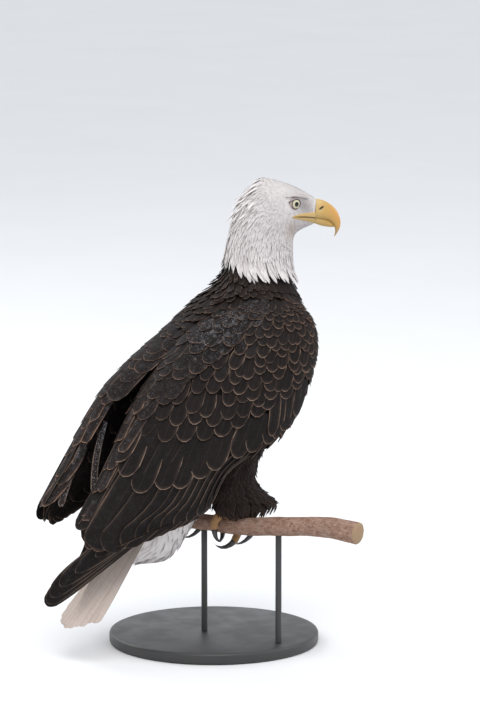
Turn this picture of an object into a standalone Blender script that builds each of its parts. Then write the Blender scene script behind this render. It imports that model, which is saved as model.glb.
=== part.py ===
"""Bald eagle, life size, perched on a cut branch that a plain display stand holds up.

Metres, +Z up. The bird faces +X, its left is +Y, and its head is turned to its right.
The origin is the centre of the stand's underside, on the floor.
"""

import math

import bmesh
import bpy
from mathutils import Matrix, Vector

GAP = 0.0003  # between pieces that touch
CRUMB = 0.00002  # edges and slivers below this are closed up after a cut
UP = Vector((0, 0, 1))

# Stand and perch
BASE_RADIUS = 0.165
BASE_THICKNESS = 0.018
BASE_EDGE = 0.003
ROD_RADIUS = 0.005
PERCH_POINT = Vector((0.004, -0.045, 0.0))  # on the perch's axis, under the right foot
PERCH_WAY = Vector((0.42, -0.91, 0.0)).normalized()  # along the perch, from its far end to its near end
PERCH_ACROSS = Vector((-PERCH_WAY.y, PERCH_WAY.x, 0.0))  # the way the front toes point
# distance along the perch, height of its axis, its radius
PERCH = [
    (-0.150, 0.1860, 0.0120),
    (-0.100, 0.1915, 0.0132),
    (-0.045, 0.1938, 0.0128),
    (0.000, 0.1945, 0.0136),
    (0.045, 0.1970, 0.0138),
    (0.085, 0.2030, 0.0150),
    (0.137, 0.2090, 0.0148),
    (0.190, 0.2135, 0.0160),
    (0.240, 0.2110, 0.0172),
]
ROD_STATIONS = (-0.050, 0.092)  # where the rods meet the perch, along it

# Body: the head and neck swing round a vertical axis in the neck, and the trunk faces +X.
# turn in degrees; then the back's and the front's distance ahead of the axis and height; half the width
NECK_AXIS_X = 0.080
HEAD_TURN = -30.0
BODY = [
    (HEAD_TURN, 0.0905, 0.6990, 0.0885, 0.6605, 0.0145),
    (HEAD_TURN, 0.0800, 0.7055, 0.0785, 0.6560, 0.0200),
    (HEAD_TURN, 0.0674, 0.7130, 0.0685, 0.6515, 0.0262),
    (HEAD_TURN, 0.0510, 0.7205, 0.0610, 0.6465, 0.0315),
    (HEAD_TURN, 0.0340, 0.7265, 0.0565, 0.6400, 0.0360),
    (HEAD_TURN, 0.0185, 0.7305, 0.0548, 0.6320, 0.0390),
    (HEAD_TURN, 0.0045, 0.7315, 0.0548, 0.6220, 0.0410),
    (HEAD_TURN, -0.0110, 0.7170, 0.0552, 0.6120, 0.0420),
    (HEAD_TURN, -0.0295, 0.6940, 0.0560, 0.6010, 0.0428),
    (HEAD_TURN, -0.0405, 0.6660, 0.0570, 0.5910, 0.0440),
    (-28.0, -0.0480, 0.6390, 0.0590, 0.5800, 0.0465),
    (-22.0, -0.0530, 0.6100, 0.0620, 0.5670, 0.0520),
    (-12.0, -0.0590, 0.5860, 0.0650, 0.5520, 0.0620),
    (-4.0, -0.0730, 0.5660, 0.0700, 0.5300, 0.0790),
    (0.0, -0.1020, 0.5400, 0.0770, 0.5020, 0.0970),
    (0.0, -0.1360, 0.5070, 0.0800, 0.4700, 0.1060),
    (0.0, -0.1680, 0.4660, 0.0740, 0.4320, 0.1080),
    (0.0, -0.1890, 0.4230, 0.0540, 0.3960, 0.1040),
    (0.0, -0.2030, 0.3790, 0.0060, 0.3620, 0.0940),
    (0.0, -0.2110, 0.3350, -0.0270, 0.3230, 0.0820),
    (0.0, -0.2160, 0.2950, -0.0560, 0.2780, 0.0660),
    (0.0, -0.2190, 0.2620, -0.0900, 0.2350, 0.0520),
    (0.0, -0.2240, 0.2360, -0.1330, 0.1790, 0.0400),
    (0.0, -0.2320, 0.2120, -0.1640, 0.1420, 0.0300),
    (0.0, -0.2400, 0.1930, -0.2080, 0.1390, 0.0180),
]
HEAD_ENDS = 8.6  # station where the head is parted from the neck
NECK_ENDS = 11.7  # station where the neck is parted from the trunk
TRUNK_ENDS = 20.8  # station where the white tail coverts begin
BODY_SIDES = 20

# Head details, in the head's own frame: ahead of the neck's axis, to the bird's left, up
EYE = Vector((0.0582, 0.0190, 0.6955))
EYE_RADIUS = 0.0122
# brow, hollow before the eye and cheek: centre in the head's frame, reach, push outwards, push up
HEAD_SHAPING = [
    (Vector((0.058, 0.028, 0.7085)), 0.017, 0.0035, -0.001),
    (Vector((0.066, 0.026, 0.6920)), 0.016, -0.0035, 0.0),
    (Vector((0.040, 0.036, 0.6720)), 0.026, 0.003, 0.0),
]
# ahead and up for the culmen and the cutting edge, then half the width at the cutting edge
UPPER_BILL = [
    (0.0908, 0.6990, 0.0890, 0.6715, 0.0142),
    (0.1007, 0.6970, 0.0970, 0.6690, 0.0130),
    (0.1098, 0.6925, 0.1030, 0.6672, 0.0118),
    (0.1180, 0.6862, 0.1090, 0.6648, 0.0104),
    (0.1243, 0.6780, 0.1140, 0.6618, 0.0088),
    (0.1280, 0.6685, 0.1180, 0.6575, 0.0068),
    (0.1291, 0.6585, 0.1203, 0.6520, 0.0048),
    (0.1262, 0.6490, 0.1205, 0.6458, 0.0028),
    (0.1203, 0.6398, 0.1189, 0.6394, 0.0007),
]
CERE_ENDS = 1.6
CULMEN_WIDTH = 0.55  # share of the bill's width that its upper curve keeps
LOWER_BILL = [
    (0.0890, 0.6760, 0.0888, 0.6603, 0.0122),
    (0.0970, 0.6735, 0.0985, 0.6568, 0.0112),
    (0.1050, 0.6705, 0.1070, 0.6552, 0.0100),
    (0.1120, 0.6670, 0.1130, 0.6545, 0.0082),
    (0.1165, 0.6625, 0.1172, 0.6545, 0.0056),
    (0.1190, 0.6585, 0.1194, 0.6548, 0.0024),
]

# Folded wing: inner edge by the spine, widest line and leading or lower edge, from shoulder to tips,
# for the right wing, each as x, distance from the bird's middle plane, z
WING = [
    ((0.050, 0.050, 0.560), (0.080, 0.080, 0.556), (0.112, 0.052, 0.546)),
    ((0.016, 0.040, 0.549), (0.071, 0.111, 0.531), (0.137, 0.060, 0.518)),
    ((-0.024, 0.032, 0.526), (0.055, 0.123, 0.500), (0.143, 0.066, 0.479)),
    ((-0.066, 0.027, 0.494), (0.028, 0.127, 0.461), (0.132, 0.073, 0.436)),
    ((-0.108, 0.026, 0.452), (-0.006, 0.128, 0.414), (0.107, 0.081, 0.388)),
    ((-0.150, 0.027, 0.402), (-0.046, 0.125, 0.362), (0.064, 0.087, 0.337)),
    ((-0.184, 0.030, 0.344), (-0.102, 0.118, 0.311), (-0.022, 0.089, 0.296)),
    ((-0.218, 0.034, 0.284), (-0.148, 0.106, 0.250), (-0.064, 0.086, 0.226)),
    ((-0.260, 0.040, 0.216), (-0.206, 0.089, 0.204), (-0.158, 0.076, 0.202)),
    ((-0.262, 0.054, 0.180), (-0.250, 0.068, 0.174), (-0.236, 0.066, 0.172)),
]
ARM_ENDS = 6.25  # station where the coverts end over the secondaries
BLADE_ENDS = {-1: 9.0, 1: 8.7}  # station where the longest inner feathers end, right and left
ARM_THICKNESS = 0.016
BLADE_THICKNESS = 0.005
BLADE_INSET = 0.0012  # how far the secondaries lie under the coverts' face
WING_EDGE = 0.0014
TIP_REACH = 0.6  # stations over which a blade's end is drawn in
LEFT_LIFT = Vector((-0.024, 0.0, 0.024))  # how far the left wing stands off the right wing's mirror
LIFT_FROM, LIFT_TO = 0.26, 0.66  # shares of the wing between which that lift comes in

# Folded primaries: upper edge, lower edge, as x, distance from the middle plane, z
PRIMARIES = {
    -1: [
        ((-0.150, 0.082, 0.262), (-0.120, 0.080, 0.232)),
        ((-0.200, 0.068, 0.220), (-0.172, 0.068, 0.188)),
        ((-0.244, 0.050, 0.184), (-0.218, 0.052, 0.150)),
        ((-0.282, 0.032, 0.148), (-0.258, 0.036, 0.118)),
        ((-0.302, 0.019, 0.116), (-0.286, 0.021, 0.099)),
        ((-0.306, 0.015, 0.095), (-0.302, 0.015, 0.091)),
    ],
    1: [
        ((-0.150, 0.082, 0.280), (-0.120, 0.080, 0.248)),
        ((-0.180, 0.068, 0.228), (-0.158, 0.068, 0.202)),
        ((-0.191, 0.050, 0.192), (-0.172, 0.052, 0.168)),
        ((-0.212, 0.034, 0.156), (-0.196, 0.036, 0.136)),
        ((-0.242, 0.024, 0.126), (-0.229, 0.026, 0.112)),
        ((-0.268, 0.016, 0.103), (-0.264, 0.016, 0.099)),
    ],
}
PRIMARY_THICKNESS = 0.004
PRIMARY_TILT = 0.35  # how far the folded primaries face upwards
PRIMARY_SIDES = 10

# Tail
TAIL_BASE = Vector((-0.091, 0.0, 0.248))
TAIL_SLOPE = math.radians(48)
TAIL_LENGTH = 0.266
TAIL_HALF = (0.011, 0.054)
TAIL_THICKNESS = 0.005
TAIL_CAMBER = 0.010
RECTRICES = 12
TAIL_CORNER = 0.13  # how much shorter the outermost feathers are
TAIL_SHARES = (0.0, 0.45, 0.93, 1.0)  # of the tail's length, where its sections lie
TIP_SCALLOP = 0.02  # how far each feather's tip stands out, as a share of the tail's length

# Feathered thigh: centre, half the depth, half the width, from hip to cuff
THIGH = [
    ((0.030, 0.050, 0.350), 0.046, 0.034),
    ((0.017, 0.050, 0.315), 0.040, 0.035),
    ((0.010, 0.050, 0.285), 0.034, 0.033),
    ((0.010, 0.049, 0.258), 0.038, 0.031),
    ((0.023, 0.048, 0.235), 0.050, 0.031),
    ((0.030, 0.048, 0.221), 0.056, 0.032),
    ((0.029, 0.048, 0.2105), 0.046, 0.026),
]
THIGH_SIDES = 12

# Feet
FOOT_SPACING = 0.099  # along the perch
SOLE_HEIGHT = 0.0085  # of the sole's middle over the bark
ANKLE = Vector((0.022, 0.0, 0.030))  # from the sole
SHANK_RADII = (0.0075, 0.0115, 0.0095, 0.0088)  # under the sole, at it, half way up and at the ankle
TOE_CLEAR = 0.0008  # between a toe and the bark
TOE_ARCH = 0.003  # how far a toe's middle rises off the bark
# start and end angle round the perch from its top, start and end along the perch, radius,
# how far the tip hangs off the bark, and how far the claw swings along the perch
TOES = {
    "inner": (10, 128, -0.006, -0.026, 0.0064, 0.001, 0.006),
    "middle": (10, 160, 0.000, 0.000, 0.0066, 0.009, -0.013),
    "outer": (10, 132, 0.007, 0.030, 0.0058, 0.001, -0.020),
    "hallux": (-10, -100, 0.000, -0.016, 0.0068, 0.000, 0.006),
}
TOE_STEPS = 6
CLAW_STEPS = 5
CLAW_SWEEP = 62  # degrees round the perch
CLAW_RISE = 0.0075  # how far a claw stands off the bark


def material(name, colour, roughness, metallic=0.0):
    found = bpy.data.materials.get(name)
    if found:
        return found
    made = bpy.data.materials.new(name)
    made.use_nodes = True
    shader = made.node_tree.nodes["Principled BSDF"]
    shader.inputs["Base Color"].default_value = (*colour, 1)
    shader.inputs["Roughness"].default_value = roughness
    shader.inputs["Metallic"].default_value = metallic
    return made


def white_feather():
    return material("white_feather", (0.78, 0.74, 0.71), 0.8)


def dark_feather():
    return material("dark_feather", (0.035, 0.026, 0.022), 0.75)


def horn_yellow():
    return material("bill_horn", (0.66, 0.40, 0.10), 0.4)


def eye_glass():
    return material("eye", (0.72, 0.62, 0.36), 0.1)


def toe_skin():
    return material("toe_skin", (0.45, 0.26, 0.12), 0.6)


def claw_horn():
    return material("claw_horn", (0.02, 0.018, 0.016), 0.35)


def perch_wood():
    return material("perch_wood", (0.32, 0.22, 0.15), 0.8)


def stand_paint():
    return material("stand_paint", (0.12, 0.12, 0.12), 0.5)


def collection(name, shown=True):
    made = bpy.data.collections.new(name)
    bpy.context.scene.collection.children.link(made)
    made.hide_render = not shown
    return made


def add_object(name, points, faces, finish, into):
    mesh = bpy.data.meshes.new(name)
    mesh.from_pydata(points, [], faces)
    mesh.materials.append(finish)
    made = bpy.data.objects.new(name, mesh)
    into.objects.link(made)
    return made


def mix(stations, place):
    """The station list at a fractional place, as a smooth curve through its rows."""
    last = len(stations) - 1
    first = min(int(place), last - 1)
    t = place - first
    rows = [stations[min(max(first + step, 0), last)] for step in (-1, 0, 1, 2)]
    mixed = []
    for a, b, c, d in zip(*rows):
        mixed.append(
            0.5 * (2 * b + (c - a) * t + (2 * a - 5 * b + 4 * c - d) * t**2 + (3 * b - a - 3 * c + d) * t**3)
        )
    return mixed


def flat(row):
    return [value for part in row for value in (part if isinstance(part, tuple) else (part,))]


def places(start, end, step):
    count = max(1, round((end - start) / step))
    return [start + (end - start) * i / count for i in range(count + 1)]


def loft(name, rings, finish, into, band=False):
    """A closed skin over rings of equal length. A fan closes each end, or for a band, which is a ring
    that runs out along one face and back along the other, a strip of quads from face to face."""
    sides = len(rings[0])
    points = [point for ring in rings for point in ring]
    faces = []
    for i in range(len(rings) - 1):
        for j in range(sides):
            k = (j + 1) % sides
            faces.append((i * sides + j, i * sides + k, (i + 1) * sides + k, (i + 1) * sides + j))
    for ring, start in ((rings[0], 0), (rings[-1], len(points) - sides)):
        if band:
            for j in range(sides // 2 - 1):
                faces.append((start + j, start + j + 1, start + sides - 2 - j, start + sides - 1 - j))
            continue
        middle = len(points)
        points = points + [sum(ring, Vector()) / sides]
        for j in range(sides):
            faces.append((middle, start + j, start + (j + 1) % sides))
    made = add_object(name, points, faces, finish, into)
    outward(made)
    return made


def outward(obj):
    work = bmesh.new()
    work.from_mesh(obj.data)
    bmesh.ops.triangulate(work, faces=work.faces)
    bmesh.ops.recalc_face_normals(work, faces=work.faces)
    if work.calc_volume(signed=True) < 0:
        bmesh.ops.reverse_faces(work, faces=work.faces)
    work.to_mesh(obj.data)
    work.free()


def grown(obj, by, cutters):
    """A copy of a piece, larger all over by a little, to cut its neighbours with."""
    graph = bpy.context.evaluated_depsgraph_get()
    mesh = bpy.data.meshes.new_from_object(obj.evaluated_get(graph))
    made = bpy.data.objects.new("cut_for_" + obj.name, mesh)
    made.matrix_world = obj.matrix_world
    made.hide_render = True
    made.display_type = "WIRE"
    cutters.objects.link(made)
    swell = made.modifiers.new("grow", "DISPLACE")
    swell.mid_level = 0
    swell.strength = by
    return made


def boolean(obj, other, operation="DIFFERENCE", folded=False):
    """Cuts or joins exactly; folded is for a cutter whose own surface crosses itself."""
    cut = obj.modifiers.new(operation.lower() + "_" + other.name, "BOOLEAN")
    cut.object = other
    cut.operation = operation
    cut.solver = "EXACT"
    cut.use_self = folded


def settle(obj):
    """Applies a piece's modifiers, and keeps its largest body where a cut leaves crumbs."""
    bpy.context.view_layer.update()
    graph = bpy.context.evaluated_depsgraph_get()
    mesh = bpy.data.meshes.new_from_object(obj.evaluated_get(graph))
    obj.modifiers.clear()
    obj.data = mesh
    work = bmesh.new()
    work.from_mesh(mesh)
    bmesh.ops.remove_doubles(work, verts=work.verts, dist=CRUMB)
    bmesh.ops.dissolve_degenerate(work, edges=work.edges, dist=CRUMB)
    loose = islands(work)
    for island in sorted(loose, key=spread)[:-1]:
        bmesh.ops.delete(work, geom=list(island), context="VERTS")
    bmesh.ops.triangulate(work, faces=work.faces)
    work.to_mesh(mesh)
    work.free()


def spread(island):
    """The volume of the box round a loose island."""
    sides = [[vert.co[axis] for vert in island] for axis in range(3)]
    return math.prod(max(side) - min(side) for side in sides)


def islands(work):
    left = set(work.verts)
    found = []
    while left:
        island = set()
        edge = [left.pop()]
        while edge:
            vert = edge.pop()
            island.add(vert)
            for link in vert.link_edges:
                other = link.other_vert(vert)
                if other in left:
                    left.remove(other)
                    edge.append(other)
        found.append(island)
    return found


def turned(degrees):
    """Ahead and left of a part that is turned this far about the vertical."""
    angle = math.radians(degrees)
    ahead = Vector((math.cos(angle), math.sin(angle), 0))
    return ahead, Vector((-ahead.y, ahead.x, 0))


def head_point(ahead, left, up):
    forward, side = turned(HEAD_TURN)
    return Vector((NECK_AXIS_X, 0, 0)) + forward * ahead + side * left + UP * up


def body_ring(place):
    """One closed section of the body: back at the top, widest a little above the middle."""
    turn, back, back_up, front, front_up, half = mix(BODY, place)
    ahead, left = turned(turn)
    axis = Vector((NECK_AXIS_X, 0, 0))
    top = axis + ahead * back + UP * back_up
    bottom = axis + ahead * front + UP * front_up
    centre = (top + bottom) / 2
    ring = []
    for i in range(BODY_SIDES):
        angle = 2 * math.pi * i / BODY_SIDES
        ring.append(centre + (top - bottom) / 2 * math.cos(angle) + left * half * math.sin(angle))
    return ring


def body_piece(name, start, end, finish, into, step=0.65):
    return loft(name, [body_ring(place) for place in places(start, end, step)], finish, into)


def push(obj, centre, reach, shift):
    """Moves a piece's surface smoothly round a point, most at the point."""
    for vert in obj.data.vertices:
        away = (vert.co - centre).length / reach
        if away < 1:
            vert.co += shift * (1 - away * away) ** 2


def head(into):
    made = body_piece("head", 0, HEAD_ENDS - 0.01, white_feather(), into, step=0.66)
    _, side = turned(HEAD_TURN)
    for centre, reach, out, rise in HEAD_SHAPING:
        for sign in (1, -1):
            push(made, head_point(centre.x, sign * centre.y, centre.z), reach, side * sign * out + UP * rise)
    return made


def bill_ring(row, sides=12):
    """A section of one half of the bill: round over the culmen, flat across the cutting edge."""
    ridge, ridge_up, edge, edge_up, half = row
    top = head_point(ridge, 0, ridge_up)
    bottom = head_point(edge, 0, edge_up)
    _, left = turned(HEAD_TURN)
    ring = []
    for i in range(sides):
        angle = 2 * math.pi * i / sides
        high = math.cos(angle)
        wide = math.sin(angle)
        drop = (1 - high) / 2
        reach = math.copysign(abs(wide) ** 0.75, wide) * (CULMEN_WIDTH + (1 - CULMEN_WIDTH) * drop)
        ring.append(top.lerp(bottom, drop**0.9) + left * half * reach)
    return ring


def bill(name, stations, start, end, into):
    rings = [bill_ring(mix(stations, place)) for place in places(start, end, 0.55)]
    return loft(name, rings, horn_yellow(), into)


def eye(name, sign, into):
    work = bmesh.new()
    bmesh.ops.create_uvsphere(work, u_segments=12, v_segments=8, radius=EYE_RADIUS)
    mesh = bpy.data.meshes.new(name)
    work.to_mesh(mesh)
    work.free()
    mesh.materials.append(eye_glass())
    made = bpy.data.objects.new(name, mesh)
    made.location = head_point(EYE.x, sign * EYE.y, EYE.z)
    into.objects.link(made)
    return made


def side_point(point, sign):
    return Vector((point[0], point[1] * sign, point[2]))


def lifted(point, sign, share):
    """The left wing is held a little higher than the right, from its shoulder down."""
    rise = min(max((share - LIFT_FROM) / (LIFT_TO - LIFT_FROM), 0), 1)
    return point + LEFT_LIFT * rise * rise * (3 - 2 * rise) if sign > 0 else point


def wing_ring(place, sign, thickness, inset, sides=7):
    """A section of the folded wing: its outer face as half an ellipse, its inner face inside that."""
    row = mix([flat(row) for row in WING], place)
    share = place / (len(WING) - 1)
    inner, widest, outer = (lifted(side_point(row[i : i + 3], sign), sign, share) for i in (0, 3, 6))
    centre = (inner + outer) / 2
    arm = (inner - outer) / 2
    bulge = widest - centre
    inward = -bulge.normalized()
    face = []
    back = []
    for i in range(sides + 1):
        angle = math.pi * i / sides
        point = centre + arm * math.cos(angle) + bulge * math.sin(angle)
        full = math.sin(angle) ** 0.6 if 0 < i < sides else 0
        face.append(point + inward * inset)
        back.append(point + inward * (inset + WING_EDGE + (thickness - WING_EDGE) * full))
    return face + back[::-1]


def wing_piece(name, start, end, sign, thickness, inset, into, tip=0.0):
    """Part of the folded wing; tip is the share by which its last ring is drawn in."""
    rings = []
    for place in places(start, end, 0.5):
        ring = wing_ring(place, sign, thickness, inset)
        middle = sum(ring, Vector()) / len(ring)
        near = max(0, 1 - (end - place) / TIP_REACH)
        rings.append([middle.lerp(point, 1 - tip * near) for point in ring])
    return loft(name, rings, dark_feather(), into, band=True)


def primaries(name, sign, into):
    rings = []
    stations = [flat(row) for row in PRIMARIES[sign]]
    for place in places(0, len(stations) - 1, 0.5):
        row = mix(stations, place)
        upper = side_point(row[:3], sign)
        lower = side_point(row[3:], sign)
        outward_way = Vector((0, sign, 0)) + UP * PRIMARY_TILT
        ring = []
        for i in range(PRIMARY_SIDES):
            angle = 2 * math.pi * i / PRIMARY_SIDES
            middle = (upper + lower) / 2 + (upper - lower) / 2 * math.cos(angle)
            ring.append(middle + outward_way * PRIMARY_THICKNESS / 2 * math.sin(angle))
        rings.append(ring)
    return loft(name, rings, dark_feather(), into)


def tail(into):
    """The folded tail fan: twelve feathers side by side, their rounded tips as a scalloped edge."""
    way = Vector((-math.cos(TAIL_SLOPE), 0, -math.sin(TAIL_SLOPE)))
    over = Vector((-way.z, 0, way.x)) * -1
    columns = RECTRICES * 2
    rings = []
    for share in TAIL_SHARES:
        half = TAIL_HALF[0] + (TAIL_HALF[1] - TAIL_HALF[0]) * share**0.85
        above = []
        below = []
        for i in range(columns + 1):
            across = 2 * i / columns - 1
            tip = 1 - TAIL_CORNER * across * across
            if share == 1.0:
                tip += TIP_SCALLOP * (i % 2)
            point = TAIL_BASE + way * TAIL_LENGTH * share * tip + Vector((0, half * across, 0))
            point = point - over * TAIL_CAMBER * across * across * share
            deep = TAIL_THICKNESS * (1 - 0.6 * share) * (1 - 0.5 * across * across)
            above.append(point + over * deep / 2)
            below.append(point - over * deep / 2)
        rings.append(above + below[::-1])
    return loft("tail", rings, white_feather(), into, band=True)


def thigh(name, sign, into):
    rings = []
    for place in places(0, len(THIGH) - 1, 0.75):
        x, y, z, deep, half = mix([flat(row) for row in THIGH], place)
        centre = side_point((x, y, z), sign)
        ring = []
        for i in range(THIGH_SIDES):
            angle = 2 * math.pi * i / THIGH_SIDES
            ring.append(centre + Vector((deep * math.cos(angle), half * math.sin(angle), 0)))
        rings.append(ring)
    return loft(name, rings, dark_feather(), into)


def tube(name, centres, radii, finish, into, sides=8):
    """A round bar along a bent line, its sections square to the line."""
    rings = []
    side = None
    for i, centre in enumerate(centres):
        way = (centres[min(i + 1, len(centres) - 1)] - centres[max(i - 1, 0)]).normalized()
        if side is None:
            side = way.orthogonal().normalized()
        side = (side - way * side.dot(way)).normalized()
        other = way.cross(side)
        ring = []
        for j in range(sides):
            angle = 2 * math.pi * j / sides
            ring.append(centre + (side * math.cos(angle) + other * math.sin(angle)) * radii[i])
        rings.append(ring)
    return loft(name, rings, finish, into)


def perch_at(along):
    """The perch's axis and radius at a distance along it."""
    first = sum(station[0] < along for station in PERCH[1:-1])
    share = (along - PERCH[first][0]) / (PERCH[first + 1][0] - PERCH[first][0])
    _, height, radius = mix(PERCH, first + share)
    return PERCH_POINT + PERCH_WAY * along + UP * height, radius


def perch(into):
    centres = []
    radii = []
    for place in places(0, len(PERCH) - 1, 0.8):
        along, height, radius = mix(PERCH, place)
        centres.append(PERCH_POINT + PERCH_WAY * along + UP * height)
        radii.append(radius)
    return tube("perch", centres, radii, perch_wood(), into, sides=12)


def round_perch(along, angle, away):
    """A point at an angle round the perch from its top, forwards positive, and this far from its bark."""
    centre, radius = perch_at(along)
    turn = math.radians(angle)
    return centre + (UP * math.cos(turn) + PERCH_ACROSS * math.sin(turn)) * (radius + away)


def toe_line(start, toe):
    first, last, near, far, radius, hang, _ = toe
    line = []
    for i in range(TOE_STEPS + 1):
        share = i / TOE_STEPS
        along = start + near + (far - near) * math.sin(share * math.pi / 2)
        lift = radius + TOE_CLEAR + TOE_ARCH * math.sin(share * math.pi) ** 2 + hang * share**3
        line.append(round_perch(along, first + (last - first) * share, lift))
    return line


def foot(side_name, start, cutters, into):
    """Ankle, sole and four toes, joined into one piece, and a claw for each toe."""
    sole = round_perch(start, 4, SOLE_HEIGHT)
    ankle = sole + ANKLE
    name = "foot_" + side_name
    made = tube(name, [sole - UP * 0.004, sole, sole.lerp(ankle, 0.5), ankle],
                SHANK_RADII, toe_skin(), into, sides=12)
    for toe_name, toe in TOES.items():
        line = [sole] + toe_line(start, toe)
        radius = toe[4]
        radii = [radius * 0.9]
        radii += [radius * (1.08 - 0.03 * i + 0.06 * (i % 2)) for i in range(TOE_STEPS + 1)]
        part = tube(name + "_" + toe_name, line, radii, toe_skin(), cutters, sides=7)
        part.hide_render = True
        boolean(made, part, "UNION")
    settle(made)
    skin = grown(made, GAP, cutters)
    for toe_name, toe in TOES.items():
        nail = claw(side_name, toe_name, start, toe, into)
        boolean(nail, skin)
        settle(nail)
    return made


def claw(side_name, toe_name, start, toe, into):
    """A curved, tapered claw that carries on from a toe's end and swings clear of the bark."""
    _, last, _, far, radius, hang, swing = toe
    turn = math.copysign(1, last)
    line = []
    radii = []
    for i in range(CLAW_STEPS + 1):
        share = i / CLAW_STEPS
        angle = last + turn * (3 + CLAW_SWEEP * share)
        away = radius + TOE_CLEAR + hang + CLAW_RISE * math.sin(share * math.pi * 0.62)
        line.append(round_perch(start + far + swing * share, angle, away))
        radii.append(radius * 0.86 * (1 - share) ** 0.75 + 0.0005)
    return tube("claw_" + side_name + "_" + toe_name, line, radii, claw_horn(), into, sides=7)


def stand(into):
    work = bmesh.new()
    bmesh.ops.create_cone(work, cap_ends=True, segments=32, radius1=BASE_RADIUS, radius2=BASE_RADIUS,
                          depth=BASE_THICKNESS, matrix=Matrix.Translation((0, 0, BASE_THICKNESS / 2)))
    mesh = bpy.data.meshes.new("stand_base")
    work.to_mesh(mesh)
    work.free()
    mesh.materials.append(stand_paint())
    base = bpy.data.objects.new("stand_base", mesh)
    into.objects.link(base)
    edge = base.modifiers.new("edge", "BEVEL")
    edge.width = BASE_EDGE
    edge.segments = 1
    for name, along in zip(("stand_rod_mid", "stand_rod_side"), ROD_STATIONS):
        centre, _ = perch_at(along)
        foot_point = Vector((centre.x, centre.y, BASE_THICKNESS + GAP))
        rod = tube(name, [foot_point, Vector((centre.x, centre.y, centre.z))],
                   [ROD_RADIUS] * 2, stand_paint(), into, sides=12)
        yield rod


def build():
    for obj in list(bpy.data.objects):
        bpy.data.objects.remove(obj)
    parts = collection("bald_eagle")
    cutters = collection("cutters", shown=False)

    branch = perch(parts)
    rods = list(stand(parts))
    bark = grown(branch, GAP, cutters)
    for rod in rods:
        boolean(rod, bark)
        settle(rod)

    head_part = head(parts)
    neck = body_piece("neck", HEAD_ENDS, NECK_ENDS - 0.01, white_feather(), parts)
    trunk = body_piece("trunk", NECK_ENDS, TRUNK_ENDS - 0.01, dark_feather(), parts)
    coverts = body_piece("tail_coverts", TRUNK_ENDS, len(BODY) - 1, white_feather(), parts)
    cere = bill("cere", UPPER_BILL, 0, CERE_ENDS - 0.03, parts)
    upper = bill("bill_upper", UPPER_BILL, CERE_ENDS, len(UPPER_BILL) - 1, parts)
    lower = bill("bill_lower", LOWER_BILL, 0, len(LOWER_BILL) - 1, parts)
    for piece in (cere, upper):
        boolean(lower, grown(piece, GAP, cutters))
    settle(lower)
    for piece in (cere, lower):
        boolean(head_part, grown(piece, GAP, cutters))
    for side_name, sign in (("left", 1), ("right", -1)):
        ball = eye("eye_" + side_name, sign, parts)
        boolean(head_part, grown(ball, GAP, cutters))
    settle(head_part)

    fan = tail(parts)
    fan_cut = grown(fan, GAP, cutters)
    body_cuts = [grown(piece, GAP, cutters) for piece in (trunk, coverts, neck)]
    for piece in (trunk, coverts):
        boolean(piece, fan_cut)
        settle(piece)
    for side_name, sign in (("left", 1), ("right", -1)):
        along = 0.0 if sign < 0 else -FOOT_SPACING
        paw = foot(side_name, along, cutters, parts)
        leg = thigh("thigh_" + side_name, sign, parts)
        for cut in (*body_cuts[:2], grown(paw, GAP, cutters), bark):
            boolean(leg, cut, folded=True)
            settle(leg)
        body_cuts.append(grown(leg, GAP, cutters))
        arm = wing_piece("wing_" + side_name + "_arm", 0, ARM_ENDS - 0.01, sign, ARM_THICKNESS, 0, parts)
        blade = wing_piece("wing_" + side_name + "_secondaries", ARM_ENDS, BLADE_ENDS[sign], sign,
                           BLADE_THICKNESS, BLADE_INSET, parts, tip=0.45)
        tips = primaries("wing_" + side_name + "_primaries", sign, parts)
        for piece in (arm, blade, tips):
            for cut in body_cuts:
                boolean(piece, cut)
            settle(piece)
        boolean(tips, grown(blade, GAP, cutters))
        boolean(tips, grown(arm, GAP, cutters))
        settle(tips)


build()
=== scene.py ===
"""Looks for the bald eagle on its cut branch and display stand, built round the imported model.

Metres, +Z up, in the frame of the CAD. The bird faces +X, its left is +Y, its head turns to its right.
Surfaces repeat the CAD's sections, and every feather is a thin closed vane that grows from one of them.
A place on a surface is (u, v): how far along its sections, and the angle round or the share across.
"""
import math
from types import SimpleNamespace

import bmesh
import bpy
import numpy as np
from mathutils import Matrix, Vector, noise
from mathutils.kdtree import KDTree


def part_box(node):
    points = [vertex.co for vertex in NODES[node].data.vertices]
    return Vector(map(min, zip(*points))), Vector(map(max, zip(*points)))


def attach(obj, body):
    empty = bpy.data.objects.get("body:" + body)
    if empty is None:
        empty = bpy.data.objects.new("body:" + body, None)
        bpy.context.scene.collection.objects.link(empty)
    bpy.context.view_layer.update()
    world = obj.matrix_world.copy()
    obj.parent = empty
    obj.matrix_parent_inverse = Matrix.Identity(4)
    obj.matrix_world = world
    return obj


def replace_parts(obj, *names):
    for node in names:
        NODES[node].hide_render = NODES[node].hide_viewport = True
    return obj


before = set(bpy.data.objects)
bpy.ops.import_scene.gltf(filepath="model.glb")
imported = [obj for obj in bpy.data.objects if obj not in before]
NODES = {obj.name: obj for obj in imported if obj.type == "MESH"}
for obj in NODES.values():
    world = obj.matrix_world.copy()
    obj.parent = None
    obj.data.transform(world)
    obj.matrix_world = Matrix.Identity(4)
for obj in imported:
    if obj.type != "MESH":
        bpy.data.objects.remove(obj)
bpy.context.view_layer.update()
RNG = np.random.default_rng(7)
UP = np.array((0.0, 0.0, 1.0))
SIDES = ((-1, "right"), (1, "left"))

# ---------------------------------------------------------------- sections
# They are the CAD's, but for the eyes' place and the upper bill's mouth edge, which is lower at its rear.

NECK_AXIS_X = 0.080
HEAD_TURN = -30.0
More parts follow.
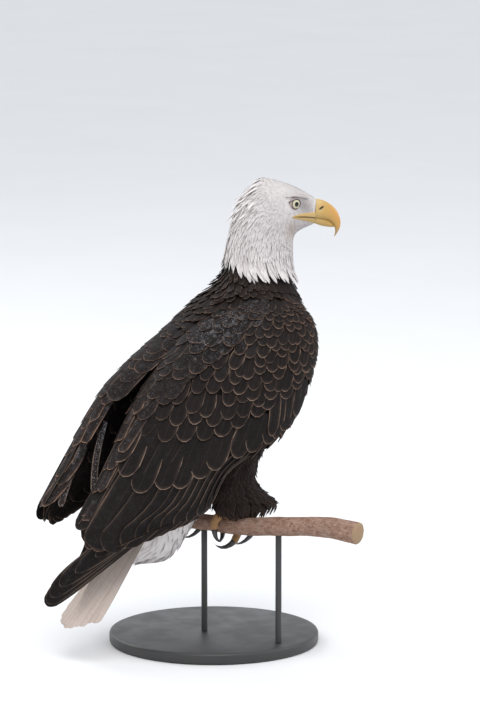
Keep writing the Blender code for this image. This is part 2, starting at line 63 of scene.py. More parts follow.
# turn; back's and front's distance ahead of the neck's axis and height; half the width
BODY = [
    (HEAD_TURN, 0.0905, 0.6990, 0.0885, 0.6605, 0.0145),
    (HEAD_TURN, 0.0800, 0.7055, 0.0785, 0.6560, 0.0200),
    (HEAD_TURN, 0.0674, 0.7130, 0.0685, 0.6515, 0.0262),
    (HEAD_TURN, 0.0510, 0.7205, 0.0610, 0.6465, 0.0315),
    (HEAD_TURN, 0.0340, 0.7265, 0.0565, 0.6400, 0.0360),
    (HEAD_TURN, 0.0185, 0.7305, 0.0548, 0.6320, 0.0390),
    (HEAD_TURN, 0.0045, 0.7315, 0.0548, 0.6220, 0.0410),
    (HEAD_TURN, -0.0110, 0.7170, 0.0552, 0.6120, 0.0420),
    (HEAD_TURN, -0.0295, 0.6940, 0.0560, 0.6010, 0.0428),
    (HEAD_TURN, -0.0405, 0.6660, 0.0570, 0.5910, 0.0440),
    (-28.0, -0.0480, 0.6390, 0.0590, 0.5800, 0.0465),
    (-22.0, -0.0530, 0.6100, 0.0620, 0.5670, 0.0520),
    (-12.0, -0.0590, 0.5860, 0.0650, 0.5520, 0.0620),
    (-4.0, -0.0730, 0.5660, 0.0700, 0.5300, 0.0790),
    (0.0, -0.1020, 0.5400, 0.0770, 0.5020, 0.0970),
    (0.0, -0.1360, 0.5070, 0.0800, 0.4700, 0.1060),
    (0.0, -0.1680, 0.4660, 0.0740, 0.4320, 0.1080),
    (0.0, -0.1890, 0.4230, 0.0540, 0.3960, 0.1040),
    (0.0, -0.2030, 0.3790, 0.0060, 0.3620, 0.0940),
    (0.0, -0.2110, 0.3350, -0.0270, 0.3230, 0.0820),
    (0.0, -0.2160, 0.2950, -0.0560, 0.2780, 0.0660),
    (0.0, -0.2190, 0.2620, -0.0900, 0.2350, 0.0520),
    (0.0, -0.2240, 0.2360, -0.1330, 0.1790, 0.0400),
    (0.0, -0.2320, 0.2120, -0.1640, 0.1420, 0.0300),
    (0.0, -0.2400, 0.1930, -0.2080, 0.1390, 0.0180),
]
EYE = (0.0540, 0.0196, 0.6947)
EYE_RADIUS = 0.0122
# middle (ahead, to the side, up), reach, then how far out and up the head's surface is drawn
HEAD_SHAPING = [
    ((0.058, 0.028, 0.7085), 0.017, 0.0035, -0.001),
    ((0.066, 0.026, 0.6920), 0.016, -0.0035, 0.0),
    ((0.040, 0.036, 0.6720), 0.026, 0.003, 0.0),
]
# the bill's top, ahead and up, then its lower edge, ahead and up, and half the width
UPPER_BILL = [
    (0.0908, 0.6990, 0.0890, 0.6672, 0.0142),
    (0.1007, 0.6970, 0.0970, 0.6664, 0.0130),
    (0.1098, 0.6925, 0.1030, 0.6658, 0.0118),
    (0.1180, 0.6862, 0.1090, 0.6648, 0.0104),
    (0.1243, 0.6780, 0.1140, 0.6618, 0.0088),
    (0.1280, 0.6685, 0.1180, 0.6575, 0.0068),
    (0.1291, 0.6585, 0.1203, 0.6520, 0.0048),
    (0.1262, 0.6490, 0.1205, 0.6458, 0.0028),
    (0.1203, 0.6398, 0.1189, 0.6394, 0.0007),
]
CERE_ENDS = 1.6
CULMEN_WIDTH = 0.55
LOWER_BILL = [
    (0.0890, 0.6760, 0.0888, 0.6603, 0.0122),
    (0.0970, 0.6735, 0.0985, 0.6568, 0.0112),
    (0.1050, 0.6705, 0.1070, 0.6552, 0.0100),
    (0.1120, 0.6670, 0.1130, 0.6545, 0.0082),
    (0.1165, 0.6625, 0.1172, 0.6545, 0.0056),
    (0.1190, 0.6585, 0.1194, 0.6548, 0.0024),
]
# inner edge by the spine, widest line, leading or lower edge: x, distance from the middle, z
WING = [
    (0.050, 0.050, 0.560, 0.080, 0.080, 0.556, 0.112, 0.052, 0.546),
    (0.016, 0.040, 0.549, 0.071, 0.111, 0.531, 0.137, 0.060, 0.518),
    (-0.024, 0.032, 0.526, 0.055, 0.123, 0.500, 0.143, 0.066, 0.479),
    (-0.066, 0.027, 0.494, 0.028, 0.127, 0.461, 0.132, 0.073, 0.436),
    (-0.108, 0.026, 0.452, -0.006, 0.128, 0.414, 0.107, 0.081, 0.388),
    (-0.150, 0.027, 0.402, -0.046, 0.125, 0.362, 0.064, 0.087, 0.337),
    (-0.184, 0.030, 0.344, -0.102, 0.118, 0.311, -0.022, 0.089, 0.296),
    (-0.218, 0.034, 0.284, -0.148, 0.106, 0.250, -0.064, 0.086, 0.226),
    (-0.260, 0.040, 0.216, -0.206, 0.089, 0.204, -0.158, 0.076, 0.202),
    (-0.262, 0.054, 0.180, -0.250, 0.068, 0.174, -0.236, 0.066, 0.172),
]
LEFT_LIFT = np.array((-0.024, 0.0, 0.024))
LIFT_FROM, LIFT_TO = 0.26, 0.66
# folded primaries, right wing then left: upper edge, lower edge
PRIMARIES = {
    -1: [
        (-0.150, 0.082, 0.262, -0.120, 0.080, 0.232),
        (-0.200, 0.068, 0.220, -0.172, 0.068, 0.188),
        (-0.244, 0.050, 0.184, -0.218, 0.052, 0.150),
        (-0.282, 0.032, 0.148, -0.258, 0.036, 0.118),
        (-0.302, 0.019, 0.116, -0.286, 0.021, 0.099),
        (-0.306, 0.015, 0.095, -0.302, 0.015, 0.091),
    ],
    1: [
        (-0.150, 0.082, 0.280, -0.120, 0.080, 0.248),
        (-0.180, 0.068, 0.228, -0.158, 0.068, 0.202),
        (-0.191, 0.050, 0.192, -0.172, 0.052, 0.168),
        (-0.212, 0.034, 0.156, -0.196, 0.036, 0.136),
        (-0.242, 0.024, 0.126, -0.229, 0.026, 0.112),
        (-0.268, 0.016, 0.103, -0.264, 0.016, 0.099),
    ],
}
TAIL_BASE = np.array((-0.091, 0.0, 0.248))
TAIL_SLOPE = math.radians(48)
TAIL_LENGTH = 0.266
TAIL_HALF = (0.011, 0.054)
TAIL_CAMBER = 0.010
TAIL_CORNER = 0.13
RECTRICES = 12
# centre, half the depth, half the width, from hip to cuff
THIGH = [
    (0.030, 0.050, 0.350, 0.046, 0.034),
    (0.017, 0.050, 0.315, 0.040, 0.035),
    (0.010, 0.050, 0.285, 0.034, 0.033),
    (0.010, 0.049, 0.258, 0.038, 0.031),
    (0.023, 0.048, 0.235, 0.050, 0.031),
    (0.030, 0.048, 0.221, 0.056, 0.032),
    (0.029, 0.048, 0.2105, 0.046, 0.026),
]
PERCH_POINT = np.array((0.004, -0.045, 0.0))
PERCH_WAY = np.array((0.42, -0.91, 0.0)) / math.hypot(0.42, 0.91)
# along the perch, height, radius
PERCH = [
    (-0.150, 0.1860, 0.0120),
    (-0.100, 0.1915, 0.0132),
    (-0.045, 0.1938, 0.0128),
    (0.000, 0.1945, 0.0136),
    (0.045, 0.1970, 0.0138),
    (0.085, 0.2030, 0.0150),
    (0.137, 0.2090, 0.0148),
    (0.190, 0.2135, 0.0160),
    (0.240, 0.2110, 0.0172),
]
AXIS = np.array((NECK_AXIS_X, 0, 0))


def mix(table, place):
    """Rows of a station table at fractional places, on a smooth curve through its rows."""
    rows = np.asarray(table, float)
    place = np.asarray(place, float)
    last = len(rows) - 1
    first = np.clip(place.astype(int), 0, last - 1)
    t = (place - first)[..., None]
    a, b, c, d = (rows[np.clip(first + step, 0, last)] for step in (-1, 0, 1, 2))
    return 0.5 * (2 * b + (c - a) * t + (2 * a - 5 * b + 4 * c - d) * t**2
                  + (3 * b - a - 3 * c + d) * t**3)


def unit(v):
    return v / np.maximum(np.linalg.norm(v, axis=-1, keepdims=True), 1e-12)


def ease(x, low, high):
    t = np.clip((x - low) / (high - low), 0, 1)
    return t * t * (3 - 2 * t)


def even(like, low=0.0, high=1.0):
    """Random numbers spread evenly from low to high, one for each item."""
    return RNG.uniform(low, high, len(like))


def bell(like, spread):
    """Random numbers about 0, one for each item."""
    return RNG.normal(0, spread, len(like))


def round_angles(count):
    return np.linspace(0, 2 * np.pi, count, endpoint=False)


def head_frame(turn):
    angle = np.radians(turn)
    ahead = np.stack((np.cos(angle), np.sin(angle), 0 * angle), -1)
    return ahead, np.stack((-ahead[..., 1], ahead[..., 0], 0 * angle), -1)


HEAD_AHEAD, HEAD_LEFT = head_frame(HEAD_TURN)


def head_point(ahead, left, up):
    return AXIS + HEAD_AHEAD * ahead + HEAD_LEFT * left + UP * up


def body(place, angle):
    """Head, neck, trunk and tail coverts; angle 0 is the back, and the bird's left is positive."""
    row = mix(BODY, place)
    ahead, left = head_frame(row[..., 0])
    col = row[..., 1:, None]
    top = AXIS + ahead * col[..., 0, :] + UP * col[..., 1, :]
    bottom = AXIS + ahead * col[..., 2, :] + UP * col[..., 3, :]
    high, wide = np.cos(angle)[..., None], np.sin(angle)[..., None]
    point = (top + bottom) / 2 + (top - bottom) / 2 * high + left * col[..., 4, :] * wide
    for centre, reach, out, rise in HEAD_SHAPING:
        for sign in (1, -1):
            middle = head_point(centre[0], sign * centre[1], centre[2])
            away = np.linalg.norm(point - middle, axis=-1, keepdims=True) / reach
            point = point + np.maximum(1 - away * away, 0) ** 2 * (HEAD_LEFT * sign * out + UP * rise)
    return point


def mirrored(values, sign):
    return values * np.array((1.0, sign, 1.0))


def wing_line(place, sign, part):
    """One of the wing's three lines: 0 inner edge, 1 widest, 2 leading or lower edge."""
    point = mirrored(mix(WING, place)[..., 3 * part:3 * part + 3], sign)
    if sign > 0:
        point = point + LEFT_LIFT * ease(place / (len(WING) - 1), LIFT_FROM, LIFT_TO)[..., None]
    return point


def wing(sign):
    def surface(place, angle):
        inner, widest, outer = (wing_line(place, sign, part) for part in range(3))
        centre = (inner + outer) / 2
        return (centre + (inner - outer) / 2 * np.cos(angle)[..., None]
                + (widest - centre) * np.sin(angle)[..., None])
    return surface


def blade(sign):
    """The folded primaries: place 0 to 5 towards the tips, across -1 at the lower edge to 1."""
    def surface(place, across):
        row = mix(PRIMARIES[sign], place)
        upper, lower = mirrored(row[..., :3], sign), mirrored(row[..., 3:], sign)
        return (upper + lower) / 2 + (upper - lower) / 2 * across[..., None]
    return surface


def thigh(sign):
    def surface(place, angle):
        row = mix(THIGH, place)
        centre = mirrored(row[..., :3], sign)
        deep, wide = row[..., 3] * np.cos(angle), row[..., 4] * np.sin(angle) * sign
        return centre + np.stack((deep, wide, 0 * angle), -1)
    return surface


TAIL_WAY = np.array((-math.cos(TAIL_SLOPE), 0, -math.sin(TAIL_SLOPE)))
TAIL_OVER = np.array((-math.sin(TAIL_SLOPE), 0, math.cos(TAIL_SLOPE)))


def tail(share, across):
    half = TAIL_HALF[0] + (TAIL_HALF[1] - TAIL_HALF[0]) * np.maximum(share, 0) ** 0.85
    tip = 1 - TAIL_CORNER * across * across
    point = TAIL_BASE + TAIL_WAY * (TAIL_LENGTH * share * tip)[..., None]
    point = point + np.array((0, 1.0, 0)) * (half * across)[..., None]
    return point - TAIL_OVER * (TAIL_CAMBER * across * across * share)[..., None]


SLOPE_STEP = 0.004  # half the span, in u and v, over which a surface's slope is taken


class Surface:
    """A surface with its outward side, and how far along it runs."""

    def __init__(self, form, limits, facing):
        self.point, self.limits, self.facing = form, limits, facing

    def frame_at(self, u, v):
        """Point, outward normal, and the two ways along the surface per unit of u and v."""
        low, high = self.limits
        step = SLOPE_STEP
        inside = np.clip(u, low + step, high - step)
        along = (self.point(inside + step, v) - self.point(inside - step, v)) / (2 * step)
        across = (self.point(inside, v + step) - self.point(inside, v - step)) / (2 * step)
        return self.point(np.clip(u, low, high), v), unit(np.cross(across, along)) * self.facing, along, across


WING_LIMITS = (0.02, 8.98)
BODY_SURFACE = Surface(body, (0.02, 23.98), 1)
TAIL_SURFACE = Surface(tail, (0, 1), 1)
WING_SURFACE = {sign: Surface(wing(sign), WING_LIMITS, sign) for sign in (-1, 1)}
BLADE_SURFACE = {sign: Surface(blade(sign), (0.0, 5.0), -sign) for sign in (-1, 1)}
THIGH_SURFACE = {sign: Surface(thigh(sign), (0.0, 6.0), -sign) for sign in (-1, 1)}

# ---------------------------------------------------------------- feather vanes


def followed(surface, u, v, length, way, steps=8):
    """Lines that start at (u, v) and run down the surface; way gives the wanted direction."""
    points, normals = [], []
    u, v = u.astype(float).copy(), v.astype(float).copy()
    stride = (length / (steps - 1))[:, None]
    low, high = surface.limits
    point, normal, along, across = surface.frame_at(u, v)
    for _ in range(steps):
        points.append(point)
        normals.append(normal)
        wanted = way(point, normal, along, across)
        wanted = unit(wanted - normal * (wanted * normal).sum(-1, keepdims=True))
        aa, bb, ab = (along * along).sum(-1), (across * across).sum(-1), (along * across).sum(-1)
        da, db = (along * wanted).sum(-1), (across * wanted).sum(-1)
        det = np.maximum(aa * bb - ab * ab, 1e-12)
        u = u + (da * bb - db * ab) / det * stride[:, 0]
        v = v + (db * aa - da * ab) / det * stride[:, 0]
        free = ((u < low) | (u > high))[:, None]
        there, turned, along, across = surface.frame_at(u, v)
        point = np.where(free, point + wanted * stride, there)
        normal = np.where(free, normal, turned)
    return np.stack(points, 1), np.stack(normals, 1)


def backed(surface, u, v, length, way, steps=9):
    """Lines that end at (u, v), traced up from their tips."""
    points, normals = followed(surface, u, v, length, lambda *place: -way(*place), steps)
    return points[:, ::-1], normals[:, ::-1]


def ruled(surface, start, end, bow=0.0, steps=12):
    """Lines between two (u, v) places, with the middle bowed across by a little."""
    t = np.linspace(0, 1, steps)[None, :]
    u = start[0][:, None] * (1 - t) + end[0][:, None] * t
    v = start[1][:, None] * (1 - t) + end[1][:, None] * t + bow * np.sin(np.pi * t)
    point, normal, _, _ = surface.frame_at(u.ravel(), v.ravel())
    return point.reshape(*u.shape, 3), normal.reshape(*u.shape, 3)


def flow(point, normal, along, across):
    return unit(along)


def hanging(share):
    """Partly along the surface's own run and partly straight down."""
    return lambda point, normal, along, across: unit(along) * (1 - share) - UP * share


def leaning(way, angle):
    """A way turned aside within the surface by an angle for each feather."""
    def turned(point, normal, along, across):
        ahead = way(point, normal, along, across)
        ahead = unit(ahead - normal * (ahead * normal).sum(-1, keepdims=True))
        aside = np.cross(normal, ahead)
        return ahead * np.cos(angle)[:, None] + aside * np.sin(angle)[:, None]
    return turned


def lump(points, scale, seed):
    """Smooth bumps between about -1 and 1, for leaning and clumping of neighbours."""
    rng = np.random.default_rng(seed)
    total = 0
    for octave in (1, 1.9, 3.1):
        ways = rng.normal(size=(3, 3)) * scale * octave
        total = total + np.sin(points @ ways + rng.uniform(0, 6, 3)).sum(-1) / (3 * octave)
    return total / 1.1


PATCH = 0.003         # width on the map of a small feather's patch, at its root's place
CELL_HALF = 0.42      # half the width of a large feather in its own cell of the map
CELL_FOOT = 0.08      # and the margin under its root
ROUGH_LIFT = 0.0004   # the most by which a feather may stand over its neighbours


class Coat:
    """Gathers vanes for one mesh piece. With cells, each feather has its own cell of the map."""

    def __init__(self, name, slot, finish, cells):
        self.name, self.slot, self.finish, self.cells = name, slot, finish, cells
        self.kept = {}
        self.points = self.feathers = 0

    def keep(self, **rows):
        for name, values in rows.items():
            self.kept.setdefault(name, []).append(values)

    def add(self, line, width, lift=(0.0, 0.002), camber=0.12, thick=0.0005, across=5, along=7, blunt=0.8,
            waist=0.5, ragged=0.0, roll=0.0, curl=0.0, tone=None, rust=0.0, fringe=1.0, frost=0.0, home=None,
            widest=0.55, tip_width=0.0):
        """line is (points, normals), each (count, steps, 3). lift is the height over the surface at
        root and tip; blunt is how round the tip is; waist the width at the root as a share."""
        points, normals = line
        count, steps = points.shape[:2]
        if not count:
            return

        def column(value):
            return (np.ones(count) * value)[:, None, None]

        half = np.ones(count) * width / 2
        length = np.linalg.norm(np.diff(points, axis=1), axis=-1).sum(1)
        tone = RNG.random(count) if tone is None else tone
        a = np.linspace(-1, 1, across)
        a = np.sign(a) * np.abs(a) ** 0.8
        j = np.linspace(0, 1, along) ** 0.9
        round_off = np.minimum(half / length, 0.9) * blunt
        ends = 1 - round_off[:, None] * (1 - np.sqrt(1 - 0.97 * a**2))[None, :]
        ends = ends + ragged * (RNG.random((count, across)) - 0.5)
        t = j[None, None, :] * ends[:, :, None]
        place = np.clip(t, 0, 1) * (steps - 1)
        first = np.clip(place.astype(int), 0, steps - 2)
        part = (place - first)[..., None]
        index = np.arange(count)[:, None, None]
        here, after = points[index, first], points[index, first + 1]
        past = (points[:, -1] - points[:, -2])[:, None, None]
        centre = here * (1 - part) + after * part + past * (np.maximum(t - 1, 0)[..., None] * (steps - 1))
        normal = unit(normals[index, first] * (1 - part) + normals[index, first + 1] * part)
        side = unit(np.cross(normal, unit(after - here)))
        grow = waist + (1 - waist) * np.sin(np.clip(t / widest, 0, 1) * np.pi / 2)
        beyond = np.clip((t - widest) / (1 - widest), 0, 1)
        taper = 1 - (1 - tip_width) * beyond ** 2.2 if tip_width else 1
        spread = grow * taper * half[:, None, None]
        low, high = (column(value) for value in lift)
        rise = low + (high - low) * t**1.4 + column(curl * length) * t**3
        rise = rise + column(RNG.random(count) * ROUGH_LIFT)
        bend = a[None, :, None]
        rise = rise - camber * bend**2 * spread + column(roll) * bend * spread
        top = centre + side * (bend * spread)[..., None] + normal * rise[..., None]
        belly = thick * (1 - bend**2) * np.sin(np.pi * np.clip(j, 0.05, 0.97))[None, None, :]
        bottom = top - normal * belly[..., None]
        edge = np.ones((across, along), bool)
        edge[1:-1, 1:-1] = False

        def both_sides(upper, lower):
            """The rows of the top grid, then those of the lower grid inside the shared rim."""
            return np.concatenate([upper.reshape(count, across * along, -1),
                                   lower[:, 1:-1, 1:-1].reshape(count, (across - 2) * (along - 2), -1)], 1)

        def spread_out(*values):
            grid = np.stack([np.broadcast_to(value, (count, across, along)) for value in values], -1)
            return both_sides(grid, grid).reshape(-1, 3)

        verts = both_sides(top, bottom)
        per = verts.shape[1]
        starts = (np.arange(count) * per)[:, None, None] + self.points
        self.keep(verts=verts.reshape(-1, 3), faces=(vane_quads(across, along)[None] + starts).reshape(-1, 4),
                  rim=np.tile(np.concatenate([edge.ravel(), np.zeros(per - edge.size, bool)]), count),
                  vane=spread_out(bend, j[None, None, :], column(tone)),
                  sort=spread_out(column(half * 1000), column(length * 1000), column(rust)),
                  cast=spread_out(column(fringe), column(frost), column(RNG.random(count))),
                  number=np.repeat(np.arange(count) + self.feathers, per))
        if home is not None:
            self.keep(home=np.repeat(home, per, 0))
        self.feathers += count
        self.points += count * per

    def build(self):
        rows = {name: np.concatenate(values) for name, values in self.kept.items()}
        made = mesh_object(self.name, rows["verts"], rows["faces"], self.finish)
        for name in ("vane", "sort", "cast"):
            set_field(made, name, *rows[name].T)
        mesh, vane = made.data, rows["vane"]
        if self.cells:
            side, number = math.ceil(math.sqrt(self.feathers)), rows["number"]
            uv = np.stack([number % side + 0.5 + CELL_HALF * vane[:, 0],
                           number // side + CELL_FOOT + 2 * CELL_HALF * vane[:, 1]], -1) / side
        else:
            uv = rows["home"] + PATCH * np.stack([vane[:, 0] / 2, vane[:, 1] - 0.5], -1)
        loops = np.empty(len(mesh.loops), np.int32)
        mesh.loops.foreach_get("vertex_index", loops)
        layer = mesh.uv_layers.new(name="OFBake")
        layer.uv.foreach_set("vector", np.clip(uv, 0, 1)[loops].astype(np.float32).ravel())
        ends = np.empty(2 * len(mesh.edges), np.int32)
        mesh.edges.foreach_get("vertices", ends)
        sharp = mesh.attributes.new("sharp_edge", "BOOLEAN", "EDGE")
        sharp.data.foreach_set("value", rows["rim"][ends].reshape(-1, 2).all(1))
        return keep(made, self.slot)


def vane_quads(across, along):
    """The quads of one closed vane: a top grid, and a lower grid that shares its rim."""
    top = np.arange(across * along).reshape(across, along)
    bottom = top.copy()
    bottom[1:-1, 1:-1] = across * along + np.arange((across - 2) * (along - 2)).reshape(across - 2, along - 2)
    quads = []
    for i in range(across - 1):
        for k in range(along - 1):
            corners = ((i, k), (i, k + 1), (i + 1, k + 1), (i + 1, k))
            quads += [[top[c] for c in corners[::-1]], [bottom[c] for c in corners]]
    return np.array(quads)


def linked(name, mesh, finish):
    mesh.materials.append(finish)
    made = bpy.data.objects.new(name, mesh)
    bpy.context.scene.collection.objects.link(made)
    return made


def mesh_object(name, verts, faces, finish, smooth=True):
    mesh = bpy.data.meshes.new(name)
    mesh.vertices.add(len(verts))
    mesh.vertices.foreach_set("co", np.asarray(verts, np.float32).ravel())
    faces = np.asarray(faces, np.int32)
    size = faces.shape[1]
    mesh.loops.add(faces.size)
    mesh.loops.foreach_set("vertex_index", faces.ravel())
    mesh.polygons.add(len(faces))
    mesh.polygons.foreach_set("loop_start", np.arange(len(faces), dtype=np.int32) * size)
    mesh.polygons.foreach_set("loop_total", np.full(len(faces), size, np.int32))
    mesh.polygons.foreach_set("use_smooth", np.full(len(faces), smooth))
    mesh.update(calc_edges=True)
    return linked(name, mesh, finish)


def set_field(obj, name, x, y=0.0, z=0.0):
    """Three numbers for each vertex, which a finish reads."""
    rows = np.stack([np.broadcast_to(v, (len(obj.data.vertices),)) for v in (x, y, z)], -1)
    field = obj.data.attributes.new(name, "FLOAT_VECTOR", "POINT")
    field.data.foreach_set("vector", rows.astype(np.float32).ravel())


def keep(piece, slot, *nodes):
    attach(piece, "root")
    if nodes:
        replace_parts(piece, *nodes)
    return piece


SCATTER_TRIES = 160000


def scatter(surface, u_range, v_range, spacing, seed, keep=None):
    """Evenly spread places on a surface; spacing is a function of u and v, in metres."""
    rng = np.random.default_rng(seed)
    u = rng.uniform(*u_range, SCATTER_TRIES)
    v = rng.uniform(*v_range, SCATTER_TRIES)
    point, _, along, across = surface.frame_at(u, v)
    area = np.linalg.norm(np.cross(along, across), axis=-1)
    gap = spacing(u, v)
    chance = area / gap**2
    wanted = rng.random(SCATTER_TRIES) < chance / np.quantile(chance, 0.995)
    if keep is not None:
        wanted &= keep(u, v, point)
    u, v, point, gap = u[wanted], v[wanted], point[wanted], gap[wanted]
    grid, chosen = {}, []
    keys = np.floor(point / float(gap.max())).astype(int)
    for i in range(len(u)):
        x, y, z = keys[i]
        near = [k for dx in (-1, 0, 1) for dy in (-1, 0, 1) for dz in (-1, 0, 1)
                for k in grid.get((x + dx, y + dy, z + dz), ())]
        if near:
            away = point[near] - point[i]
            if ((away * away).sum(1) < (gap[near] + gap[i]) ** 2 / 4).any():
                continue
        grid.setdefault((x, y, z), []).append(i)
        chosen.append(i)
    return u[chosen], v[chosen], point[chosen]

# ---------------------------------------------------------------- materials


class Term:
    """A value in a material's nodes, which takes plain arithmetic."""

    def __init__(self, finish, socket):
        self.finish, self.socket = finish, socket

    def __add__(self, other):
        return self.finish.math("ADD", self, other)

    def __sub__(self, other):
        return self.finish.math("SUBTRACT", self, other)

    def __rsub__(self, other):
        return self.finish.math("SUBTRACT", other, self)

    def __mul__(self, other):
        return self.finish.math("MULTIPLY", self, other)


class Finish:
    """A material's nodes; tint lays one colour over those before it."""

    def __init__(self, name, roughness=0.7, **shader):
        self.material = bpy.data.materials.new(name)
        self.material.use_nodes = True
        self.tree = self.material.node_tree
        self.shader = self.tree.nodes["Principled BSDF"]
        self.shader.inputs["Roughness"].default_value = roughness
        for key, value in shader.items():
            self.shader.inputs[key.replace("_", " ")].default_value = value
        self.colour = None

    def node(self, kind, links=(), output=0, **settings):
        made = self.tree.nodes.new("ShaderNode" + kind)
        for key, value in settings.items():
            setattr(made, key, value)
        for key, value in dict(links).items():
            self.put(made.inputs[key], value)
        return Term(self, made.outputs[output])

    def put(self, socket, value):
        if isinstance(value, Term):
            self.tree.links.new(value.socket, socket)
        elif isinstance(value, tuple) and len(value) == 3 and socket.type == "RGBA":
            socket.default_value = (*value, 1)
        else:
            socket.default_value = value

    def math(self, operation, *values):
        return self.node("Math", enumerate(values), operation=operation)

    def ramp(self, value, low, high, out_low=0.0, out_high=1.0):
        return self.node("MapRange", enumerate((value, low, high, out_low, out_high)),
                         interpolation_type="SMOOTHSTEP")

    def mix(self, share, a, b):
        return self.node("Mix", {0: share, 6: a, 7: b}, 2, data_type="RGBA")

    def tint(self, share, colour):
        self.colour = self.mix(share, self.colour, colour)

    def field(self, name):
        parts = self.node("SeparateXYZ", {0: self.node("Attribute", output="Vector", attribute_name=name)})
        return [Term(self, socket) for socket in parts.socket.node.outputs]

    def join(self, x, y, z=0.0):
        return self.node("CombineXYZ", enumerate((x, y, z)))

    def place(self):
        return self.node("TexCoord", output="Object")

    def noise(self, vector, scale, detail=3.0, rough=0.55):
        return self.node("TexNoise", {"Vector": vector, "Scale": scale, "Detail": detail, "Roughness": rough})

    def stretched(self, stretch):
        return self.node("VectorMath", {0: self.place(), 1: stretch}, operation="MULTIPLY")

    def finish(self, height=None, strength=0.3, distance=0.001):
        self.put(self.shader.inputs["Base Color"], self.colour)
        if height is not None:
            bump = self.node("Bump", {"Height": height, "Strength": strength, "Distance": distance})
            self.put(self.shader.inputs["Normal"], bump)
        return self.material


EDGE_BLEND = 1.2  # mm over which a feather's side and tip edges run together


def feather_terms(f):
    """What both feather finishes share: place on the vane, distance to its edge in mm, barbs and shaft."""
    across, along, tone = f.field("vane")
    half, length, rust = f.field("sort")
    fringe, frost, chance = f.field("cast")
    aside = f.math("ABSOLUTE", across)
    edge = f.math("SMOOTH_MIN", (1.0 - aside) * half, (1.0 - along) * length, EDGE_BLEND)
    slant = along * length - aside * half * 0.9
    own = chance * 37.0
    barb = f.noise(f.join(slant, aside * 0.8, own), 1.6, 2.0)
    fine = f.noise(f.join(slant * 4.2, aside * 0.6, own), 1.0, 1.0)
    broad = f.noise(f.join(across * 1.1, along * 2.3, own), 1.3, 2.0)
    return SimpleNamespace(along=along, tone=tone, rust=rust, fringe=fringe, frost=frost, edge=edge, barb=barb,
                           fine=fine, broad=broad, shaft=f.ramp(aside * half, 0.25, 0.75, 1.0, 0.0))


def dark_feather():
    f = Finish("dark_feather", roughness=0.74, Specular_IOR_Level=0.13)
    k = feather_terms(f)
    f.colour = f.mix(k.tone, (0.0050, 0.0037, 0.0038), (0.0150, 0.0104, 0.0098))
    f.tint(k.broad * 0.35, (0.021, 0.0135, 0.0118))
    f.tint(k.barb * 0.35, (0.0040, 0.0030, 0.0028))
    f.tint(k.shaft * 0.30, (0.044, 0.030, 0.025))
    rim = f.ramp(k.edge + (k.barb - 0.5) * 1.1, 0.6, 2.0, 1.0, 0.0)
    halo = f.ramp(k.edge, 0.8, 7.0, 0.13, 0.0)
    rim = f.math("MAXIMUM", rim, halo) * k.fringe * f.ramp(k.along, 0.12, 0.6)
    f.tint(rim * f.ramp(k.broad, 0.34, 0.60, 0.45, 0.95), f.mix(k.rust, (0.31, 0.225, 0.170), (0.26, 0.140, 0.088)))
    speck = f.ramp(f.noise(f.place(), 560.0, 2.0), 0.60, 0.72)
    powder = f.ramp(f.noise(f.place(), 120.0, 3.0), 0.48, 0.75)
    f.tint(f.math("MAXIMUM", speck * 0.85, powder * 0.24) * k.frost, (0.49, 0.50, 0.55))
    return f.finish(k.fine * 0.6 + k.shaft * 0.6, 0.45, 0.0004)


def white_feather():
    """Rust here is how brown the shaft and its sides are, and frost how grey the whole feather is."""
    f = Finish("white_feather", roughness=0.8, Specular_IOR_Level=0.15)
    k = feather_terms(f)
    f.colour = f.mix(k.tone, (0.430, 0.392, 0.390), (0.730, 0.692, 0.680))
    f.tint(f.ramp(k.barb, 0.5, 0.85) * 0.10, (0.44, 0.385, 0.375))
    f.tint(f.ramp(k.along, 0.1, 0.6, 0.22, 0.0), (0.44, 0.385, 0.37))
    f.tint(f.ramp(k.edge, 0.1, 0.9, 0.10, 0.0), (0.42, 0.365, 0.35))
    f.tint(k.rust * 0.70, f.mix(k.broad, (0.47, 0.355, 0.285), (0.62, 0.52, 0.455)))
    streak = f.ramp(k.barb + k.broad * 0.6, 0.72, 1.05) * 0.55
    rim = f.ramp(k.edge, 0.5, 2.0, 0.55, 0.0)
    line = f.math("MAXIMUM", f.math("MAXIMUM", k.shaft, streak), rim)
    f.tint(line * (k.rust * 0.75), (0.29, 0.195, 0.135))
    f.tint(k.frost, (0.15, 0.125, 0.125))
    return f.finish(k.fine * 0.6 + k.shaft * 0.5, 0.25, 0.0003)


def skin_finish():
    f = Finish("under_plumage", roughness=0.8, Specular_IOR_Level=0.2)
    white, bare, lid_shade = f.field("region")
    grain = f.noise(f.place(), 260.0, 4.0)
    f.colour = f.mix(white, (0.014, 0.010, 0.009), (0.52, 0.475, 0.465))
    f.tint(grain * 0.4, f.mix(white, (0.006, 0.005, 0.005), (0.42, 0.38, 0.37)))
    down, f.colour = f.colour, f.mix(grain, (0.42, 0.365, 0.36), (0.54, 0.49, 0.48))
    # the lids' own dark rim, and painted shade in their folds
    f.tint(f.ramp(lid_shade, 0.0, 0.5), (0.20, 0.150, 0.165))
    f.tint(f.ramp(lid_shade, 0.45, 1.0), (0.040, 0.026, 0.034))
    f.colour = f.mix(bare, down, f.colour)
    return f.finish(grain, 0.35, 0.0006)


